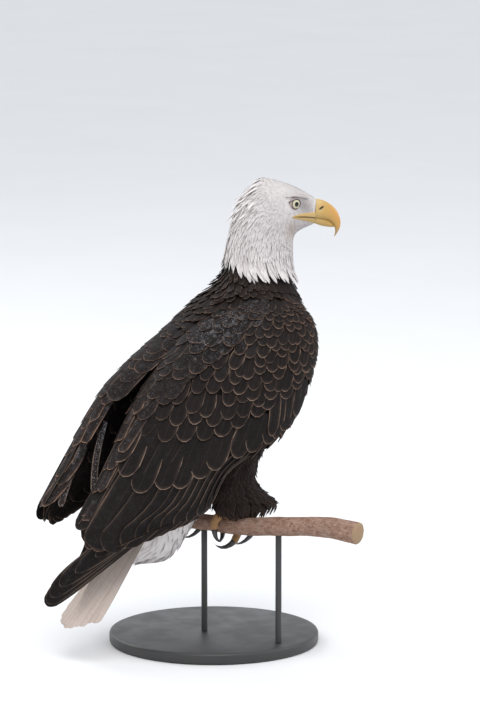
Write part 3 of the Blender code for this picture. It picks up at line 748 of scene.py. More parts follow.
def bill_finish():
    f = Finish("bill_horn", roughness=0.36, Coat_Weight=0.10, Specular_IOR_Level=0.42)
    along, high, dark = f.field("horn")
    grain = f.noise(f.stretched((1.0, 1.0, 0.6)), 90.0, 4.0)
    streak = f.noise(f.join(high * 9.0, along * 1.2, 3.0), 2.0, 4.0)
    f.colour = f.mix(f.ramp(along, 0.2, 2.2), (0.54, 0.365, 0.135), (0.49, 0.295, 0.082))
    f.tint(f.ramp(along, 2.0, 4.5), (0.50, 0.270, 0.068))
    culmen = f.ramp(high, 0.55, 0.95) * f.ramp(along, 1.2, 3.5)
    f.tint(culmen * 0.75, (0.58, 0.265, 0.062))
    # darker olive low down: the lower mandible's own colour, and painted shade on the lower half of the upper bill
    f.tint(f.ramp(high, 0.05, 0.5, 1.0, 0.0) * 0.55, (0.33, 0.225, 0.072))
    f.tint(f.ramp(along, 5.6, 8.0) * 0.85, (0.31, 0.245, 0.135))
    f.tint(f.ramp(streak, 0.45, 0.8) * 0.30, (0.40, 0.28, 0.115))
    f.tint(grain * 0.18, (0.42, 0.26, 0.07))
    # painted shade in the nostrils and along the mouth's line
    f.tint(dark, (0.020, 0.012, 0.008))
    return f.finish(grain * 0.6 + streak * 0.4, 0.18, 0.0006)


def eye_finish():
    """Pupil, iris, its dark rim and the white round it, by distance from the middle in mm."""
    f = Finish("eye", roughness=0.05, Coat_Weight=0.3, Coat_Roughness=0.02, Specular_IOR_Level=0.25)
    radius, around, _ = f.field("gaze")
    fibre = f.noise(f.join(around * 5.0, radius * 0.5), 3.2, 4.0)
    f.colour = f.mix(f.ramp(fibre, 0.3, 0.75), (0.62, 0.575, 0.42), (0.42, 0.38, 0.255))
    f.tint(f.ramp(radius, 3.9, 4.9, 0.35, 0.0), (0.34, 0.29, 0.17))
    f.tint(f.ramp(radius, 6.7, 7.4), (0.022, 0.016, 0.014))
    f.tint(f.ramp(radius, 3.65, 3.95, 1.0, 0.0), (0.002, 0.002, 0.002))
    f.tint(f.ramp(radius, 7.6, 8.4), (0.34, 0.285, 0.265))
    return f.finish()


SCALES = 430.0  # scales of the toes, across a metre


def toe_finish():
    f = Finish("toe_skin", roughness=0.5, Specular_IOR_Level=0.4)
    cells = f.node("TexVoronoi", {"Vector": f.place(), "Scale": SCALES}, feature="DISTANCE_TO_EDGE")
    f.colour = f.mix(f.noise(f.place(), 90.0, 4.0), (0.33, 0.175, 0.075), (0.52, 0.30, 0.12))
    f.tint(f.ramp(cells, 0.0, 0.12, 1.0, 0.0) * 0.7, (0.17, 0.085, 0.045))
    return f.finish(f.ramp(cells, 0.0, 0.25), 0.8, 0.0007)


def claw_finish():
    f = Finish("claw_horn", roughness=0.28, Specular_IOR_Level=0.5, Coat_Weight=0.2)
    grain = f.noise(f.stretched((1.0, 1.0, 3.0)), 160.0, 4.0)
    f.colour = f.mix(grain, (0.010, 0.010, 0.012), (0.040, 0.036, 0.036))
    return f.finish(grain, 0.25, 0.0004)


def wood_finish():
    """Weathered wood, and the rings of its sawn ends, where end runs from 0 at the rim to 1."""
    f = Finish("perch_wood", roughness=0.78, Specular_IOR_Level=0.3)
    along, around, end = f.field("grain")
    fibres = f.noise(f.join(along * 14.0, around * 5.0), 5.0, 6.0, 0.6)
    coarse = f.noise(f.join(along * 5.0, around, 4.0), 2.4, 4.0)
    patch = f.noise(f.place(), 34.0, 4.0)
    f.colour = f.mix(f.ramp(coarse, 0.35, 0.7), (0.39, 0.225, 0.160), (0.59, 0.385, 0.300))
    f.tint(f.ramp(fibres, 0.40, 0.60, 0.80, 0.0), (0.13, 0.075, 0.048))
    f.tint(f.ramp(patch, 0.50, 0.75) * 0.45, (0.46, 0.38, 0.32))
    crack = f.ramp(f.noise(f.join(along * 7.0, around * 9.0, 9.0), 2.0, 5.0), 0.57, 0.63)
    f.tint(crack * 0.85, (0.050, 0.028, 0.020))
    rings = f.node("TexWave", {"Vector": f.join(end, 0.0), "Scale": 2.1, "Distortion": 1.4, "Detail": 3.0}, 1)
    f.tint(f.ramp(end, 0.001, 0.01), f.mix(rings, (0.45, 0.31, 0.19), (0.30, 0.19, 0.11)))
    return f.finish(fibres * 0.8 + coarse * 0.5 - crack * 0.9, 0.7, 0.0015)


def paint_finish():
    f = Finish("stand_paint", roughness=0.42, Specular_IOR_Level=0.45)
    wear = f.noise(f.place(), 22.0, 4.0)
    f.colour = f.mix(wear, (0.030, 0.030, 0.031), (0.044, 0.043, 0.042))
    f.put(f.shader.inputs["Roughness"], f.ramp(wear, 0.3, 0.75, 0.36, 0.52))
    return f.finish(f.noise(f.place(), 900.0, 2.0), 0.12, 0.0003)


def floor_finish():
    f = Finish("studio_floor", roughness=0.85, Specular_IOR_Level=0.15)
    f.colour = f.mix(f.noise(f.place(), 3.0, 2.0), (0.80, 0.80, 0.81), (0.84, 0.84, 0.845))
    return f.finish()


DARK, WHITE, SKIN = dark_feather(), white_feather(), skin_finish()
BILL, EYES, TOES, CLAWS = bill_finish(), eye_finish(), toe_finish(), claw_finish()
WOOD, PAINT, FLOOR = wood_finish(), paint_finish(), floor_finish()

# ---------------------------------------------------------------- solid pieces


def grid_faces(rows, columns):
    """Quads over a grid of points, closed round its columns."""
    i, j = np.arange(rows - 1)[:, None], np.arange(columns)[None, :]
    k = (j + 1) % columns
    corners = [i * columns + j, (i + 1) * columns + j, (i + 1) * columns + k, i * columns + k]
    return np.stack(corners, -1).reshape(-1, 4)


def closed_tube(points):
    """Verts and quads of a tube of rings, (rows, columns, 3), with each end drawn to its middle."""
    rows, columns = points.shape[:2]
    ends = [np.broadcast_to(points[i].mean(0), (1, columns, 3)) for i in (0, -1)]
    inner = [points[i][None] * 0.5 + end * 0.5 for i, end in zip((0, -1), ends)]
    whole = np.concatenate([inner[0] * 0.02 + ends[0] * 0.98, inner[0], points, inner[1],
                            inner[1] * 0.02 + ends[1] * 0.98])
    caps = []
    for start, step in ((0, 1), ((rows + 3) * columns, -1)):
        for j in range(1, columns - 1, 2):
            caps.append([start, start + j, start + j + 1, start + min(j + 2, columns - 1)][::step])
    caps = [c if c[2] != c[3] and c[0] != c[1] else c for c in caps]
    return whole.reshape(-1, 3), grid_faces(rows + 4, columns), caps


def on_tube(rows):
    """A tube's own values, one row for each ring, with those of its first and last rings for its ends."""
    return np.concatenate([rows[:1], rows[:1], rows, rows[-1:], rows[-1:]])


def cleaned(mesh, fill=False):
    """Faces turned outwards and shaded smooth, with any open edge filled where asked."""
    work = bmesh.new()
    work.from_mesh(mesh)
    if fill:
        bmesh.ops.holes_fill(work, edges=[e for e in work.edges if e.is_boundary])
    bmesh.ops.recalc_face_normals(work, faces=work.faces)
    work.to_mesh(mesh)
    work.free()
    mesh.polygons.foreach_set("use_smooth", np.full(len(mesh.polygons), True))


def solid(name, parts, finish):
    """One mesh of several closed tubes, faces turned outwards."""
    verts, faces, start = [], [], 0
    for points, quads, caps in parts:
        verts.append(points)
        faces += [tuple(int(v) + start for v in face) for face in quads]
        faces += [tuple(dict.fromkeys(int(v) + start for v in face)) for face in caps]
        start += len(points)
    mesh = bpy.data.meshes.new(name)
    mesh.from_pydata(np.concatenate(verts).tolist(), [], [f for f in faces if len(f) > 2])
    cleaned(mesh)
    return linked(name, mesh, finish)


def applied(obj):
    """Gives an object its evaluated mesh and drops its modifiers."""
    bpy.context.view_layer.update()
    graph = bpy.context.evaluated_depsgraph_get()
    mesh = bpy.data.meshes.new_from_object(obj.evaluated_get(graph))
    obj.modifiers.clear()
    obj.data = mesh
    return obj


def remeshed(obj, size, smoothing):
    change = obj.modifiers.new("remesh", "REMESH")
    change.mode, change.voxel_size, change.use_smooth_shade = "VOXEL", size, True
    soft = obj.modifiers.new("smooth", "SMOOTH")
    soft.factor, soft.iterations = 0.5, smoothing
    return applied(obj)


def read(rows, name):
    """One vector for each row of a mesh's vertices or normals."""
    found = np.empty(len(rows) * 3, np.float32)
    rows.foreach_get(name, found)
    return found.reshape(-1, 3).astype(float)


def white_hem(v):
    """How far down the neck the white reaches: least at the throat, most at the sides of the back."""
    return np.interp(np.abs(v), np.radians((0, 60, 90, 130, 180)), (11.42, 12.15, 11.85, 11.40, 11.10))


def coat_depth(place):
    return np.interp(place, (0, 2, 4.5, 8, 11, 13, 19, 24),
                     (0.0012, 0.0014, 0.0022, 0.0045, 0.007, 0.009, 0.009, 0.006))


def inset_grid(surface, u, v, depth):
    uu, vv = np.meshgrid(u, v, indexing="ij")
    point, normal, _, _ = surface.frame_at(uu.ravel(), vv.ravel())
    return (point - normal * np.broadcast_to(depth, uu.shape).ravel()[:, None]).reshape(*uu.shape, 3)


def search_tree(samples):
    tree = KDTree(len(samples))
    for i, sample in enumerate(samples):
        tree.insert(sample, i)
    tree.balance()
    return tree


WING_COAT, WING_SLAB, LEG_COAT = 0.0085, 0.008, 0.006  # the skin's depth, the wing's thickness under it
SKIN_VOXEL = 0.0021
DARK_PLUMAGE = 15.0  # any place past the hem: the skin is dark there
BARE_SPOTS = ((EYE, 0.016), ((0.071, 0.021, 0.691), 0.012), ((0.081, 0.016, 0.687), 0.010))


def skin():
    """One skin under all the plumage, inside it by the coat's depth."""
    u = np.linspace(0.02, 23.95, 170)
    v = np.linspace(-np.pi, np.pi, 72, endpoint=False)
    trunk = inset_grid(BODY_SURFACE, u, v, coat_depth(u)[:, None])
    parts = [closed_tube(trunk)]
    down_neck = u[:, None] - white_hem(v)[None, :] + 0.8
    samples, labels = [trunk.reshape(-1, 3)], [np.where(u[:, None] > 20.4, -1, down_neck).ravel()]
    for sign in (-1, 1):
        along, round_it = np.linspace(0.1, 6.6, 60), np.linspace(0.03, np.pi - 0.03, 40)
        face = inset_grid(WING_SURFACE[sign], along, round_it, WING_COAT)
        back = inset_grid(WING_SURFACE[sign], along, round_it,
                          WING_COAT + WING_SLAB * np.sin(np.linspace(0, np.pi, len(round_it))) ** 0.6)
        leg = inset_grid(THIGH_SURFACE[sign], np.linspace(0, 6, 40), v[::2], LEG_COAT)
        parts += [closed_tube(np.concatenate([face, back[:, ::-1]], 1)), closed_tube(leg)]
        for points in (face, leg):
            samples.append(points.reshape(-1, 3))
            labels.append(np.full(len(samples[-1]), DARK_PLUMAGE))
    made = remeshed(solid("skin", parts, SKIN), SKIN_VOXEL, 6)
    points = read(made.data.vertices, "co")
    tree = search_tree(np.concatenate(samples)[::2])
    place = np.concatenate(labels)[::2][[tree.find(p)[1] for p in points]]
    bare = np.zeros(len(points))
    for sign in (-1, 1):
        for centre, reach in BARE_SPOTS:
            away = np.linalg.norm(points - head_point(centre[0], sign * centre[1], centre[2]), axis=1)
            bare = np.maximum(bare, 1 - ease(away, reach * 0.75, reach))
    set_field(made, "region", np.where(place < 0, 1.0, 0.0), bare, 0.0)
    keep(made, "head_feathers", "head", "neck", "trunk", "tail_coverts", "thigh_left", "thigh_right",
         "wing_left_arm", "wing_right_arm")


def swept(centres, profile):
    """Rings of a closed profile, (rows, sides, 2), set square to a line of centres."""
    way = unit(np.gradient(centres, axis=0))
    side = unit(np.cross(np.tile(UP, (len(centres), 1)), way))
    over = np.cross(way, side)
    return centres[:, None] + side[:, None] * profile[..., :1] + over[:, None] * profile[..., 1:]


def bill_rings(table, place, sides=88):
    row = mix(table, place)
    top = head_point(row[:, 0:1], 0, 0) + UP * row[:, 1:2]
    bottom = head_point(row[:, 2:3], 0, 0) + UP * row[:, 3:4]
    angle = round_angles(sides)
    drop = (1 - np.cos(angle)) / 2
    sway = np.sin(angle)
    reach = np.sign(sway) * np.abs(sway) ** 0.75 * (CULMEN_WIDTH + (1 - CULMEN_WIDTH) * drop)
    down = (drop**0.9)[None, :, None]
    return top[:, None] * (1 - down) + bottom[:, None] * down + HEAD_LEFT * (row[:, 4:5] * reach)[..., None], drop


NOSTRIL = (0.0990, 0.0090, 0.6853)
NOSTRIL_LONG, NOSTRIL_HIGH, NOSTRIL_DEEP = 0.0046, 0.0017, 0.0022
SEAM_TUCK = 0.0003  # how far the cere's rim is drawn in under the bill


def bill():
    for name, table, start, end in (("cere", UPPER_BILL, 0.0, CERE_ENDS + 0.03),
                                    ("bill_upper", UPPER_BILL, CERE_ENDS, 7.97),
                                    ("bill_lower", LOWER_BILL, 0.0, 4.97)):
        place = np.linspace(start, end, int((end - start) * 30) + 4)
        rings, drop = bill_rings(table, place)
        if name == "cere":
            edge = ease(place, CERE_ENDS - 0.02, CERE_ENDS + 0.02)
            rings = rings - unit(rings - rings.mean(1, keepdims=True)) * (SEAM_TUCK * edge)[:, None, None]
        dark = np.zeros(rings.shape[:2])
        upper = name != "bill_lower"
        if upper:
            for sign in (-1, 1):
                gap = rings - head_point(NOSTRIL[0], sign * NOSTRIL[1], NOSTRIL[2])
                ahead, high = gap @ HEAD_AHEAD, gap[..., 2]
                slit = np.hypot((ahead * 0.84 + high * 0.54) / NOSTRIL_LONG,
                                (high * 0.84 - ahead * 0.54) / NOSTRIL_HIGH)
                pit = (1 - ease(slit, 0.55, 1.25)) * (np.abs(gap @ HEAD_LEFT) < 0.006)
                rings = rings - HEAD_LEFT * sign * (pit * NOSTRIL_DEEP)[..., None]
                # painted shade in the nostril's pit
                dark = np.maximum(dark, pit)
        made = solid(name + "_horn", [closed_tube(rings)], BILL)
        rows = np.concatenate([[start, start], place, [end, end]])
        along = np.repeat(rows, rings.shape[1])
        high = np.tile(1 - drop, len(rows)) * (1 if upper else 0.4)
        # painted shade along the mouth's line, on the upper bill's lower edge
        rim = 1 - ease(high, 0.0, 0.06) if upper else np.zeros(len(high))
        shade = np.maximum(on_tube(dark).ravel(), rim * np.interp(along, (0, 2.6, 5.0), (1.0, 0.85, 0.20)))
        set_field(made, "horn", along, high, shade)
        keep(made, "bill_horn", name)


# the soft yellow flesh behind the bill: ahead, then the heights of its top, the mouth's line and its lower edge
GAPE = ((0.0500, 0.6740, 0.6737, 0.6734), (0.0580, 0.6769, 0.6742, 0.6712), (0.0672, 0.6792, 0.6738, 0.6686),
        (0.0750, 0.6798, 0.6731, 0.6660), (0.0820, 0.6801, 0.6721, 0.6630), (0.0887, 0.6803, 0.6708, 0.6592),
        (0.0945, 0.6803, 0.6694, 0.6578))
GROOVE = 0.00075      # half the width of the mouth's line
GAPE_THICK = 0.0030


def gape_edges(ahead):
    rows = np.array(GAPE)
    return [np.interp(ahead, rows[:, 0], rows[:, i]) for i in (1, 2, 3)]


def head_side(sign):
    """Points on one side of the head, with a search tree of how far ahead and how high each is."""
    u, v = np.meshgrid(np.linspace(0.02, 4.2, 260), sign * np.linspace(0.6, 2.9, 200), indexing="ij")
    point, normal, _, _ = BODY_SURFACE.frame_at(u.ravel(), v.ravel())
    gap = point - AXIS
    return search_tree(np.stack([gap @ HEAD_AHEAD, gap[:, 2], 0 * gap[:, 2]], -1)), point, normal


def gape():
    """The soft yellow flesh that runs back from the bill to under the eye, with the mouth's line along it as a
    groove with painted shade in it.
    """
    parts, shades, highs = [], [], []
    rows, columns = 60, 33
    ahead = np.linspace(GAPE[0][0], GAPE[-1][0], rows)
    top, mouth, low = (edge[:, None] for edge in gape_edges(ahead))
    across = np.linspace(-1, 1, columns)[None, :]
    share = np.abs(across)
    high = mouth + (np.where(across > 0, top, low) - mouth) * share
    groove = np.exp(-((high - mouth) / GROOVE) ** 2)
    swell = np.minimum(1, (1 - share) * 5) ** 0.5 * ease(ahead, 0.0520, 0.0640)[:, None]
    rise = -0.0012 + 0.0022 * swell - 0.0018 * groove * swell
    # painted shade in the mouth's groove
    dark = np.minimum(1.3 * groove, 1) * ease(ahead, 0.0590, 0.0680)[:, None]
    lift = 0.75 * (across > 0) + 0.25 + 0 * dark
    for sign in (-1, 1):
        tree, point, normal = head_side(sign)
        face, out = np.empty((rows, columns, 3)), np.empty((rows, columns, 3))
        for i in range(rows):
            for j in range(columns):
                near = [k for _, k, _ in tree.find_n((ahead[i], high[i, j], 0), 5)]
                face[i, j], out[i, j] = point[near].mean(0), unit(normal[near].mean(0))
        back = face - out * GAPE_THICK
        parts.append(closed_tube(np.concatenate([face + out * rise[..., None], back[:, ::-1]], 1)))
        shades.append(on_tube(np.concatenate([dark, 0 * dark], 1)).ravel())
        highs.append(on_tube(np.concatenate([lift, 0.5 + 0 * dark], 1)).ravel() * 0.55)
    made = solid("gape", parts, BILL)
    set_field(made, "horn", 0.3, np.concatenate(highs), np.concatenate(shades))
    keep(made, "bill_horn")


GAZE_TURN = math.radians(33)  # how far each eye looks ahead of straight sideways
EYEBALL_ENDS = math.radians(150)  # from the way it looks, round to the back


def gaze_frame(sign):
    """The eye's centre, the way it looks, and the ways across and up its face."""
    centre = head_point(EYE[0], sign * EYE[1], EYE[2])
    look = unit(HEAD_LEFT * sign * math.cos(GAZE_TURN) + HEAD_AHEAD * math.sin(GAZE_TURN) - UP * 0.05)
    across = unit(np.cross(UP, look)) * -sign
    return centre, look, across, unit(UP - look * (look @ UP))


def eye_ring(sign, theta, phi, radius):
    centre, look, across, up = gaze_frame(sign)
    theta, phi, radius = np.broadcast_arrays(theta, phi, radius)
    flat = across * np.cos(phi)[..., None] + up * np.sin(phi)[..., None]
    return centre + (look * np.cos(theta)[..., None] + flat * np.sin(theta)[..., None]) * radius[..., None]


def eyes():
    for sign, side in SIDES:
        theta = np.linspace(0.01, EYEBALL_ENDS, 70)[:, None]
        bulge = 1 - 0.02 * ease(theta, 0.35, 0.75)
        rings = eye_ring(sign, theta, round_angles(72)[None, :], EYE_RADIUS * bulge)
        made = solid("eyeball_" + side, [closed_tube(rings)], EYES)
        centre, look, across, up = gaze_frame(sign)
        away = read(made.data.vertices, "co") - centre
        x, y, front = away @ across, away @ up, away @ look
        radius = np.where(front > 0, np.hypot(x * 1.06, y) * 1000, 12)
        set_field(made, "gaze", radius, np.arctan2(y, x), 0.0)
        keep(made, "eye", "eye_" + side)


# the ridge over an eye, front to back: share of its run, ahead, to the side, up
BROW = ((0, 0.0800, 0.0143, 0.7012), (0.3, 0.0700, 0.0220, 0.7060), (0.6, 0.0575, 0.0280, 0.7084),
        (1, 0.0420, 0.0318, 0.7060))


def brow_ridge(sign):
    """The middle line of the ridge over an eye, front to back, and its thickness."""
    t = np.linspace(0, 1, 40)
    stations, *ways = np.array(BROW).T
    ahead, side, up = (np.interp(t, stations, way)[:, None] for way in ways)
    centres = head_point(ahead, sign * side, up)
    centres = np.stack([np.convolve(np.pad(c, 4, "edge"), np.ones(9) / 9, "valid") for c in centres.T], 1)
    return centres, np.interp(t, (0, 0.25, 0.6, 1), (0.0006, 0.0020, 0.0022, 0.0006))


# the lids from their free edge outwards: degrees past it, mm over the eyeball, then how dark each ring is painted,
# the lid's own dark rim at the free edge and painted shade in its folds, above the eye and below it
LID = ((0.0, -0.4, 1.0, 1.0), (0.0, 0.30, 1.0, 0.90), (1.4, 0.70, 0.75, 0.45), (3.4, 0.72, 0.40, 0.08),
       (5.0, 0.38, 0.95, 0.45), (6.8, 0.75, 0.45, 0.08), (9.5, 0.75, 0.10, 0.0), (13.0, 0.3, 0.0, 0.0),
       (17.0, -0.7, 0.0, 0.0), (16.0, -2.6, 0.0, 0.0), (6.0, -2.6, 0.0, 0.0))


def lids():
    """Lids that meet in a corner behind each eye, their folds with painted shade in them, and the brow ridge above.
    """
    parts, lid_shades, bare = [], [], []
    phi = round_angles(120)
    upper, rear, front = np.maximum(np.sin(phi), 0), np.maximum(-np.cos(phi), 0), np.maximum(np.cos(phi), 0)
    opening = np.radians(39.0 - 5.0 * upper ** 1.5 + 24.0 * rear ** 6 + 4.0 * front ** 6)
    above = ease(np.sin(phi), -0.1, 0.45)[:, None]
    over, under = np.array(LID).T[2:]
    turn = round_angles(16)
    for sign in (-1, 1):
        rings = np.stack([eye_ring(sign, opening + math.radians(out), phi, EYE_RADIUS + rise / 1000)
                          for out, rise, _, _ in LID], 1)
        rows, sides = rings.shape[:2]
        last = (rows - 1) * sides
        closing = [[last + j, j, (j + 1) % sides, last + (j + 1) % sides] for j in range(sides)]
        lid = (rings.reshape(-1, 3), np.concatenate([grid_faces(rows, sides), closing]), [])
        centres, size = brow_ridge(sign)
        oval = np.stack([(size * 1.15)[:, None] * np.cos(turn), size[:, None] * np.sin(turn)], -1)
        ridge = closed_tube(swept(centres, oval))
        parts += [lid, ridge]
        # painted shade in the lid folds, with the dark rim, above and below the eye
        lid_shades += [(above * over + (1 - above) * under).ravel(), np.zeros(len(ridge[0]))]
        bare += [np.ones(rows * sides), np.zeros(len(ridge[0]))]
    made = solid("eyelids", parts, SKIN)
    set_field(made, "region", 1.0, np.concatenate(bare), np.concatenate(lid_shades))
    keep(made, "head_feathers")


CLAW_TRIM = 0.00085
SCALE_RISE, SCALE_SINK = 0.00045, 0.0002


def feet():
    """The CAD's feet and claws, rounded; the toes get raised scales and the claws are thinned."""
    for side in ("left", "right"):
        for node in [n for n in NODES if n.startswith(("foot_" + side, "claw_" + side))]:
            paw = node.startswith("foot")
            made = linked(node + "_shape", NODES[node].data.copy(), None)
            made.data.materials.clear()
            made.data.materials.append(TOES if paw else CLAWS)
            remeshed(made, 0.0009 if paw else 0.0005, 5 if paw else 3)
            points = read(made.data.vertices, "co")
            rise = -CLAW_TRIM
            if paw:
                gaps = [noise.voronoi(Vector(p) * SCALES)[0] for p in points]
                scale = np.clip([(g[1] - g[0]) / 0.30 for g in gaps], 0, 1)
                rise = (SCALE_RISE * scale - SCALE_SINK)[:, None]
            moved = points + read(made.data.vertex_normals, "vector") * rise
            made.data.vertices.foreach_set("co", moved.astype(np.float32).ravel())
            keep(made, "toe_skin" if paw else "claw_horn", node)


# the perch's knots: place along it, angle round it, reach, height
KNOTS = ((0.055, 0.9, 0.012, 0.0016), (0.165, 2.4, 0.014, 0.0020), (-0.085, 4.0, 0.011, 0.0012))


def perch():
    """The cut branch: weathered wood with long cracks, knots and two sawn ends."""
    sides, rows = 72, 240
    row = mix(PERCH, np.linspace(0, len(PERCH) - 1, rows))
    centres = PERCH_POINT + PERCH_WAY * row[:, 0:1] + UP * row[:, 1:2]
    angle = round_angles(sides)
    dent = np.empty((rows, sides))
    for i in range(rows):
        for j in range(sides):
            broad, fine, split = (
                noise.noise(Vector((row[i, 0] * long, math.cos(angle[j]) * high, math.sin(angle[j]) * high)) + aside)
                for long, high, aside in ((22, 1.6, Vector()), (60, 9, Vector()), (9, 5, Vector((7, 3, 1)))))
            dent[i, j] = 0.0009 * broad + 0.00045 * fine - 0.0013 * max(0, 1 - abs(split) * 14)
    for along, turn, reach, high in KNOTS:
        gap = np.hypot(row[:, 0:1] - along, 0.014 * np.angle(np.exp(1j * (angle[None, :] - turn)))) / reach
        dent += high * np.maximum(1 - gap ** 2, 0) ** 2 - high * 0.9 * np.maximum(1 - (gap * 2.6) ** 2, 0)
    radius = row[:, 2:3] - 0.0001 + dent
    rings = swept(centres, np.stack([radius * np.cos(angle), radius * np.sin(angle)], -1))
    made = solid("branch", [closed_tube(rings)], WOOD)
    depth = np.concatenate([[0.0001, 1.0], np.zeros(rows), [1.0, 0.0001]])
    set_field(made, "grain", np.repeat(on_tube(row[:, 0]), sides) * 10, np.tile(angle, rows + 4),
              np.repeat(depth, sides))
    keep(made, "perch_wood", "perch")


def turned_rings(x, y, profile, angle):
    """Rings round an upright axis, from (radius, height) pairs."""
    return np.stack([np.stack([x + r * np.cos(angle), y + r * np.sin(angle), np.full(len(angle), z)], -1)
                     for r, z in profile])


POLE = 0.0002         # radius of the pinhole at a turned shape's pole
RIM, RIM_HALF = 0.004, 0.0012


def stand():
    low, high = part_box("stand_base")
    x, y, radius, top = (low.x + high.x) / 2, (low.y + high.y) / 2, (high.x - low.x) / 2, high.z
    foot = [(POLE, 0.0), (radius - RIM, 0.0), (radius - RIM_HALF, RIM_HALF), (radius, RIM)]
    profile = foot + [(r, top - z) for r, z in foot[::-1]]
    angle = round_angles(128)
    rings = turned_rings(x, y, profile, angle)
    base = solid("base_plate", [(rings.reshape(-1, 3), grid_faces(len(profile), 128), [])], PAINT)
    cleaned(base.data, fill=True)
    base.modifiers.new("hard edges", "EDGE_SPLIT").split_angle = math.radians(50)
    keep(applied(base), "stand_paint", "stand_base")
    for node in ("stand_rod_mid", "stand_rod_side"):
        low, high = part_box(node)
        x, y, radius = (low.x + high.x) / 2, (low.y + high.y) / 2, (high.x - low.x) / 2
        levels = [low.z, *np.linspace(low.z + 0.001, high.z - 0.001, 8), high.z]
        rings = turned_rings(x, y, zip([radius] * 9 + [radius * 0.9], levels), angle[::4])
        keep(solid(node.replace("stand_", "") + "_bar", [closed_tube(rings)], PAINT), "stand_paint", node)

# ---------------------------------------------------------------- plumage


def unwrapped(u, v):
    """A place's point on the body's own unwrap."""
    return np.stack([(v / (2 * np.pi)) % 1.0, u / 24.0], -1)


EYE_CLEAR = 0.0108
MOUTH_CLEAR = 0.0006


def clear_of_face(point):
    """True where feathers may grow: off the eyes, the gape and the bill."""
    free = np.ones(len(point), bool)
    for sign in (-1, 1):
        centre, look, across, up = gaze_frame(sign)
        away = point - centre
        free &= (np.hypot(away @ across * 0.92, away @ up * 1.04) > EYE_CLEAR) | (away @ look < 0)
        gap = point - AXIS
        ahead, high, left = gap @ HEAD_AHEAD, gap[:, 2], gap @ HEAD_LEFT * sign
        top, _, low = gape_edges(ahead)
        free &= ~((left > 0) & (ahead > 0.0505) & (high < top - MOUTH_CLEAR) & (high > low + MOUTH_CLEAR))
    return free


def head_length(u):
    """The length of the head's and neck's feathers, by place."""
    return np.interp(u, (0.3, 1.2, 2.5, 4.0, 5.5, 7.0, 8.6, 10.0, 11.0, 11.8),
                     (0.0042, 0.0050, 0.0072, 0.0100, 0.0130, 0.0175, 0.023, 0.029, 0.033, 0.036))


def brow_lines(sign):
    """Short lines that run back over a brow ridge, with their outward sides."""
    centres, size = brow_ridge(sign)
    index = np.repeat(np.arange(2, len(centres) - 7), 5)
    turn = np.tile(np.radians((-10, 22, 54, 86, 118)), len(centres) - 9) + 0.2 * (index % 2)
    out = HEAD_LEFT * sign * np.cos(turn)[:, None] + UP * np.sin(turn)[:, None]
    at = index[:, None] + np.arange(5)
    points = centres[at] + out[:, None] * (size[at] * 1.02)[..., None]
    return points, np.repeat(out[:, None], 5, 1)


ROUND = (-np.pi, np.pi)
# grey lores before the eye and rust on the throat: ahead, to the side, up, strength
FACE_TINTS = ((0.0765, 0.0200, 0.6890, 0.56), (0.0560, 0.0250, 0.6560, 0.50))
FACE_TINT_REACH = 0.011
CREST_TUFTS = 110


def head_plumage():
    def spacing(u, v):
        return head_length(u) * np.interp(u, (0, 2.5, 4, 8, 12), (0.19, 0.150, 0.150, 0.175, 0.18))

    def forehead(u, v, point):
        return clear_of_face(point) & ((u > 0.12) | (np.cos(v) > 0.55))

    u, v, point = scatter(BODY_SURFACE, (0.03, 8.6), ROUND, spacing, 11, forehead)
    size = head_length(u)
    lean = 0.12 * lump(point, 60, 1) + bell(u, 0.05)
    crest = np.exp(-((u - 6.7) / 1.2) ** 2) * np.clip(np.cos(v), 0, 1) ** 6
    face = ease(u, 2.0, 5.0)
    streaked = even(u) < 0.060 * (ease(u, 4.5, 7.5) * ease(np.cos(v), -0.55, 0.1))
    lores, throat = (
        strength * np.exp(-(np.linalg.norm([point - head_point(ahead, sign * left, up) for sign in (1, -1)],
                                           axis=2).min(0) / FACE_TINT_REACH) ** 2)
        for ahead, left, up, strength in FACE_TINTS)
    coat = Coat("head_plumage", "head_feathers", WHITE, False)
    coat.add(followed(BODY_SURFACE, u, v, size * even(u, 0.85, 1.2) * (1 + 0.3 * crest), leaning(flow, lean), 5),
             size * np.interp(u, (0, 3, 6, 9), (0.42, 0.32, 0.21, 0.17)) * even(u, 0.8, 1.2),
             lift=(-coat_depth(u) * 0.55, 0.0001 + 0.0002 * face * even(u) + 0.0100 * crest * even(u) ** 3),
             camber=0.10, thick=0.0003, across=3, along=5, blunt=1.8, waist=0.5, ragged=0.04, rust=throat,
             curl=0.01 * even(u), widest=0.45, tip_width=0.25,
             # lighter towards the crown: painted light from above
             tone=np.clip(0.56 + 0.15 * ease(np.cos(v), 0.1, 0.9) + 0.10 * lump(point, 50, 21) + bell(u, 0.07),
                          0, 1),
             frost=np.maximum(np.where(streaked, 0.36, 0.05 * np.clip(lump(point, 55, 3), 0, 1)), lores),
             home=unwrapped(u, v))
    # loose pointed tufts at the back of the crown
    u, v = RNG.uniform(5.7, 8.3, CREST_TUFTS), RNG.normal(0, 0.42, CREST_TUFTS)
    size = even(u, 0.022, 0.034)
    coat.add(followed(BODY_SURFACE, u, v, size, leaning(flow, bell(u, 0.18)), 6),
             size * even(u, 0.13, 0.20), lift=(-0.002, 0.0015 + 0.0085 * even(u) ** 1.5), camber=0.2,
             thick=0.0004, across=3, along=6, blunt=2.4, waist=0.5, ragged=0.05, widest=0.4, tip_width=0.08,
             tone=0.75 + 0.25 * even(u), home=unwrapped(u, v))
    for sign in (-1, 1):
        line = brow_lines(sign)
        home = np.tile(np.array(((0.5 + sign * 0.18, 0.09),)), (len(line[0]), 1))
        coat.add(line, 0.0022, lift=(-0.0004, 0.0001), camber=0.1, thick=0.0003, across=3, along=4, blunt=1.6,
                 waist=0.5, ragged=0.05, widest=0.45, tip_width=0.25, tone=0.5 + 0.5 * even(home), home=home)
    coat.build()


LOCKS, LOCK_FEATHERS = 25, 17


